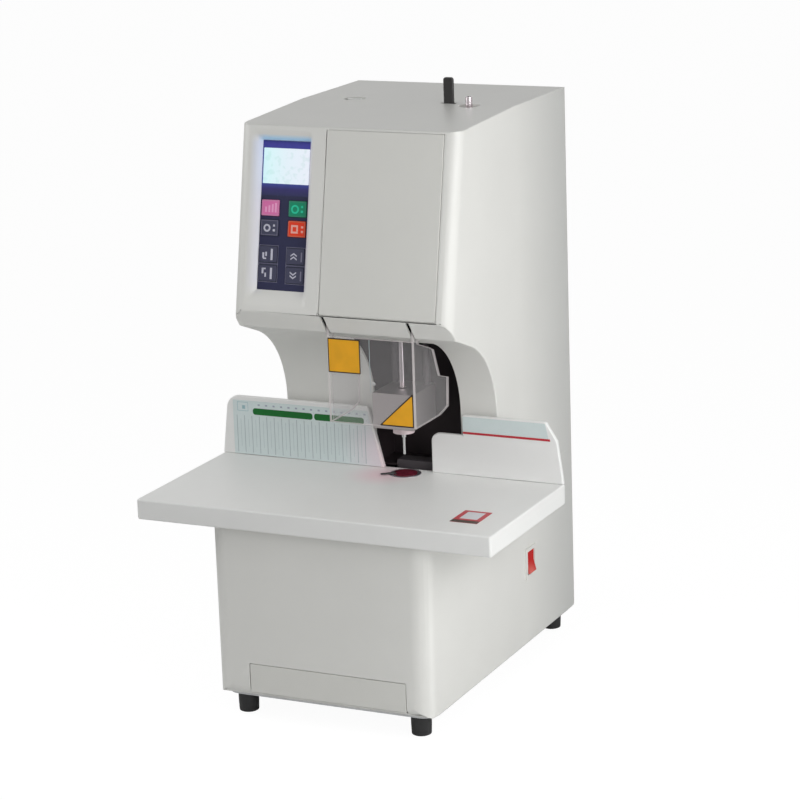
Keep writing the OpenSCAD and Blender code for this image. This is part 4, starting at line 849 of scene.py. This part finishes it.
def make_labels():
    """Plain labels without words: on the guard, on the table and on the right backstop.

    Each sheet has a low level, a high level and a rim radius."""
    guard_edge, guard_face = (0.02, 0.16, 0.03), (0.1, 0.24, 0.03)
    square = box_corners(-22.3, 18.0, 138.5, 178.3, 0.8)
    slab("guard_label_edge", GUARD_FACE, square, *guard_edge, "print_black", "guard")
    square = box_corners(-21.0, 16.7, 139.9, 176.9, 0.5)
    slab("guard_label_face", GUARD_FACE, square, *guard_face, "print_yellow", "guard")
    triangle = [(39.0, 81.2, 0.8), (82.2, 81.2, 1.0), (82.2, 121.4, 1.0)]
    slab("guard_sign_edge", GUARD_FACE, triangle, *guard_edge, "print_black", "guard")
    triangle = [(42.6, 82.7, 0.6), (80.8, 82.7, 0.6), (80.8, 118.0, 0.6)]
    slab("guard_sign_face", GUARD_FACE, triangle, *guard_face, "print_yellow", "guard")
    table_edge, table_print = (0.02, 0.2, 0.05), (0.1, 0.27, 0.04)
    whole = box_corners(154, 187, -189, -145, 1.0)
    slab("table_label_edge", TABLE_FACE, whole, *table_edge, "print_red", "root")
    foot = box_corners(154.2, 186.8, -188.8, -180.0, 0.6)
    slab("table_label_foot", TABLE_FACE, foot, *table_print, "print_black", "root")
    face = box_corners(160, 181, -175, -150, 0.6)
    slab("table_label_face", TABLE_FACE, face, *table_print, "print_white", "root")
    strip = [(96.5, 53.0, 0.6), (203.0, 53.0, 0.6), (199.0, 70.5, 0.6), (96.5, 70.5, 0.6)]
    slab("stop_label_face", STOP_FACE, strip, 0.02, 0.2, 0.05, "strip", "root")
    line = [(96.5, 50.0, 0.2), (205.0, 50.0, 0.2), (204.5, 52.6, 0.2), (96.5, 52.6, 0.2)]
    slab("stop_label_line", STOP_FACE, line, 0.02, 0.24, 0.04, "print_red", "root")


def make_top():
    """Lever, tube guide and knob on the top."""
    soften("top_lever", 1.0, "black")
    keep("tube_guide", "chrome")
    soften("top_knob", 0.4, "table", 2)
    keep("lever_bracket", "zinc")
    keep("lever_pin", "steel")


def make_tools():
    """Drill, presser, anvil, what drives them, and the guard's bracket and pins."""
    soften("presser_block", 1.2, "satin")
    for node, finish in {
            "drill_spindle": "chrome", "drill_bit": "steel", "presser_foot": "foot", "presser_rods": "iron",
            "cutting_pad": "pad", "pad_lever": "black", "anvil_ring": "alloy", "lower_die": "satin",
            "carriage_block": "alloy", "spindle_motor": "zinc", "drive_belt": "rubber",
            "spindle_pulley": "alloy", "motor_pulley": "alloy", "feed_screw": "steel", "guide_rods": "chrome",
            "feed_motor": "black", "guard_bracket": "zinc", "guard_pins": "steel"}.items():
        keep(node, finish)
    soften("c_frame", 1.0, "iron", 2)


def make_guard():
    """Clear guard whose cut edges and rims are paler, with a thin joint line and a screw."""
    thick = 3.0
    inner = (GUARD_LEFT + thick, GUARD_RIGHT - thick)
    piece = merged_copy("guard_box", [(0, inner[0]), (0, inner[1])])
    mesh = piece.data
    dress(piece, "clear", body_of_node("guard_box"))
    mesh.materials.append(finishes["clear_edge"])
    count = len(mesh.polygons)
    normals, centres = np.empty(3 * count), np.empty(3 * count)
    mesh.polygons.foreach_get("normal", normals)
    mesh.polygons.foreach_get("center", centres)
    normals, centres = np.abs(normals.reshape(-1, 3)), centres.reshape(-1, 3) / MM
    outside = (centres[:, 0] < inner[0] + 0.1) | (centres[:, 0] > inner[1] - 0.1)
    cut = (normals[:, 0] < 0.9) & (outside | (normals[:, 1] < 0.5))
    mesh.polygons.foreach_set("material_index", cut.astype(int))
    roll_edges(piece, 0.45, 2, rim=1)
    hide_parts("guard_box")
    printed("guard_joint", GUARD_FACE, [bar_rows(29.3, 30.1, 118.0, 179.0)], 0.05, "print_grey", "guard")
    screw = turned("guard_screw", (34.2, GUARD_FRONT - 0.9, TABLE_TOP + 128.8), [
        (0.0, 0.9), (2.0, 0.9), (2.0, 0.3), (1.4, 0.0), (0.0, 0.0)], 24, "y")
    dress(screw, "steel", "guard")


def make_base():
    """Feet, base plate, screws, switch, tray rails and electrics."""
    profile = [(5.2, 12.0), (5.2, 0.0), (10.2, 0.0), (11.1, 0.5), (11.4, 1.6), (11.8, 12.0), (11.9, 21.0),
               (11.6, 23.2), (10.8, 23.9), (2.5, 23.9), (2.5, 12.0), (5.2, 12.0)]
    feet = []
    for side, x in (("left", -110.0), ("right", 110.0)):
        for end, y in (("front", -184.0), ("rear", 201.0)):
            foot = turned("foot_" + end + "_" + side, (x, y, 0.0), profile)
            dress(foot, "rubber", "root")
            feet.append(foot)
    for foot in feet:
        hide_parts("rubber_feet")
    for node, finish in {
            "base_plate": "zinc", "foot_screws": "zinc", "rear_cover_screws": "zinc",
            "backstop_screws": "zinc", "power_supply": "zinc", "control_board": "board",
            "board_standoffs": "brass", "mains_inlet": "black", "tray_rails": "zinc"}.items():
        keep(node, finish)
    soften("switch_frame", 0.6, "casing", 2)
    soften("rocker_key", 0.8, "rocker", 3)


# ---------------------------------------------------------------- studio
def mixed_shaders(tree, factor, first, second):
    """Mixes two shaders by a factor."""
    mix = tree.nodes.new("ShaderNodeMixShader")
    for socket, value in zip(mix.inputs, (factor, first, second)):
        tree.links.new(value, socket)
    return mix.outputs[0]


def make_studio():
    """Surroundings that look white but give less light, a pale floor that keeps the shadow, and lamps."""
    world = bpy.data.worlds.new("studio")
    bpy.context.scene.world = world
    world.use_nodes = True
    tree = world.node_tree
    tree.nodes.clear()
    path = tree.nodes.new("ShaderNodeLightPath").outputs
    seen = worked_out(tree, "MAXIMUM", path["Is Camera Ray"], path["Is Transmission Ray"])
    shown = worked_out(tree, "MAXIMUM", seen, path["Is Glossy Ray"])
    dim, full = (tree.nodes.new("ShaderNodeBackground") for _ in range(2))
    for background, strength in ((dim, 0.30), (full, 1.0)):
        background.inputs["Color"].default_value = (1.0, 1.0, 1.0, 1.0)
        background.inputs["Strength"].default_value = strength
    output = tree.nodes.new("ShaderNodeOutputWorld")
    tree.links.new(mixed_shaders(tree, shown, dim.outputs[0], full.outputs[0]), output.inputs["Surface"])
    make_floor()
    centre = (0.1, -0.05, 0.36)
    make_lamp("key_lamp", (1.0, -0.3, 0.86), centre, 0.5, 3.5)
    make_lamp("front_lamp", (0.95, -0.75, 0.62), centre, 0.5, 4.4)
    make_lamp("side_lamp", (1.3, -0.1, 0.3), centre, 0.6, 1.7)
    make_lamp("left_lamp", (-1.1, -0.5, 0.95), (0.0, -0.05, 0.36), 0.6, 5.4)


def make_floor():
    """Pale floor whose colour reaches white for the camera outside the shadow."""
    size = 30000.0
    floor = add_mesh("floor", [(-size, -size, 0), (size, -size, 0), (size, size, 0), (-size, size, 0)],
                     [(0, 1, 2, 3)])
    material = bpy.data.materials.new("floor_white")
    material.use_nodes = True
    tree = material.node_tree
    shader = tree.nodes["Principled BSDF"]
    shader.inputs["Base Color"].default_value = (0.86, 0.86, 0.86, 1.0)
    shader.inputs["Roughness"].default_value = 0.9
    shader.inputs["Specular IOR Level"].default_value = 0.0
    glow = tree.nodes.new("ShaderNodeEmission")
    glow.inputs["Strength"].default_value = 1.06
    path = tree.nodes.new("ShaderNodeLightPath").outputs
    share = product(tree, path["Is Camera Ray"], 0.9)
    surface = mixed_shaders(tree, share, shader.outputs[0], glow.outputs[0])
    tree.links.new(surface, tree.nodes["Material Output"].inputs["Surface"])
    floor.data.materials.append(material)


def make_lamp(name, place, target, size, power):
    """Square soft lamp of a size, in metres, at a place and facing a target."""
    data = bpy.data.lights.new(name, "AREA")
    data.size = size
    data.energy = power
    lamp = bpy.data.objects.new(name, data)
    back = -unit(np.array(target) - np.array(place))
    side = unit(np.cross((0.0, 0.0, 1.0), back))
    lamp.matrix_world = placed(place, side, np.cross(back, side), back)
    bpy.context.collection.objects.link(lamp)


bpy.context.scene.view_settings.view_transform = "Standard"
make_camera()
finishes = make_materials()
make_studio()
make_casing()
make_panel()
make_keys()
make_ruler()
make_labels()
make_top()
make_tools()
make_guard()
make_base()
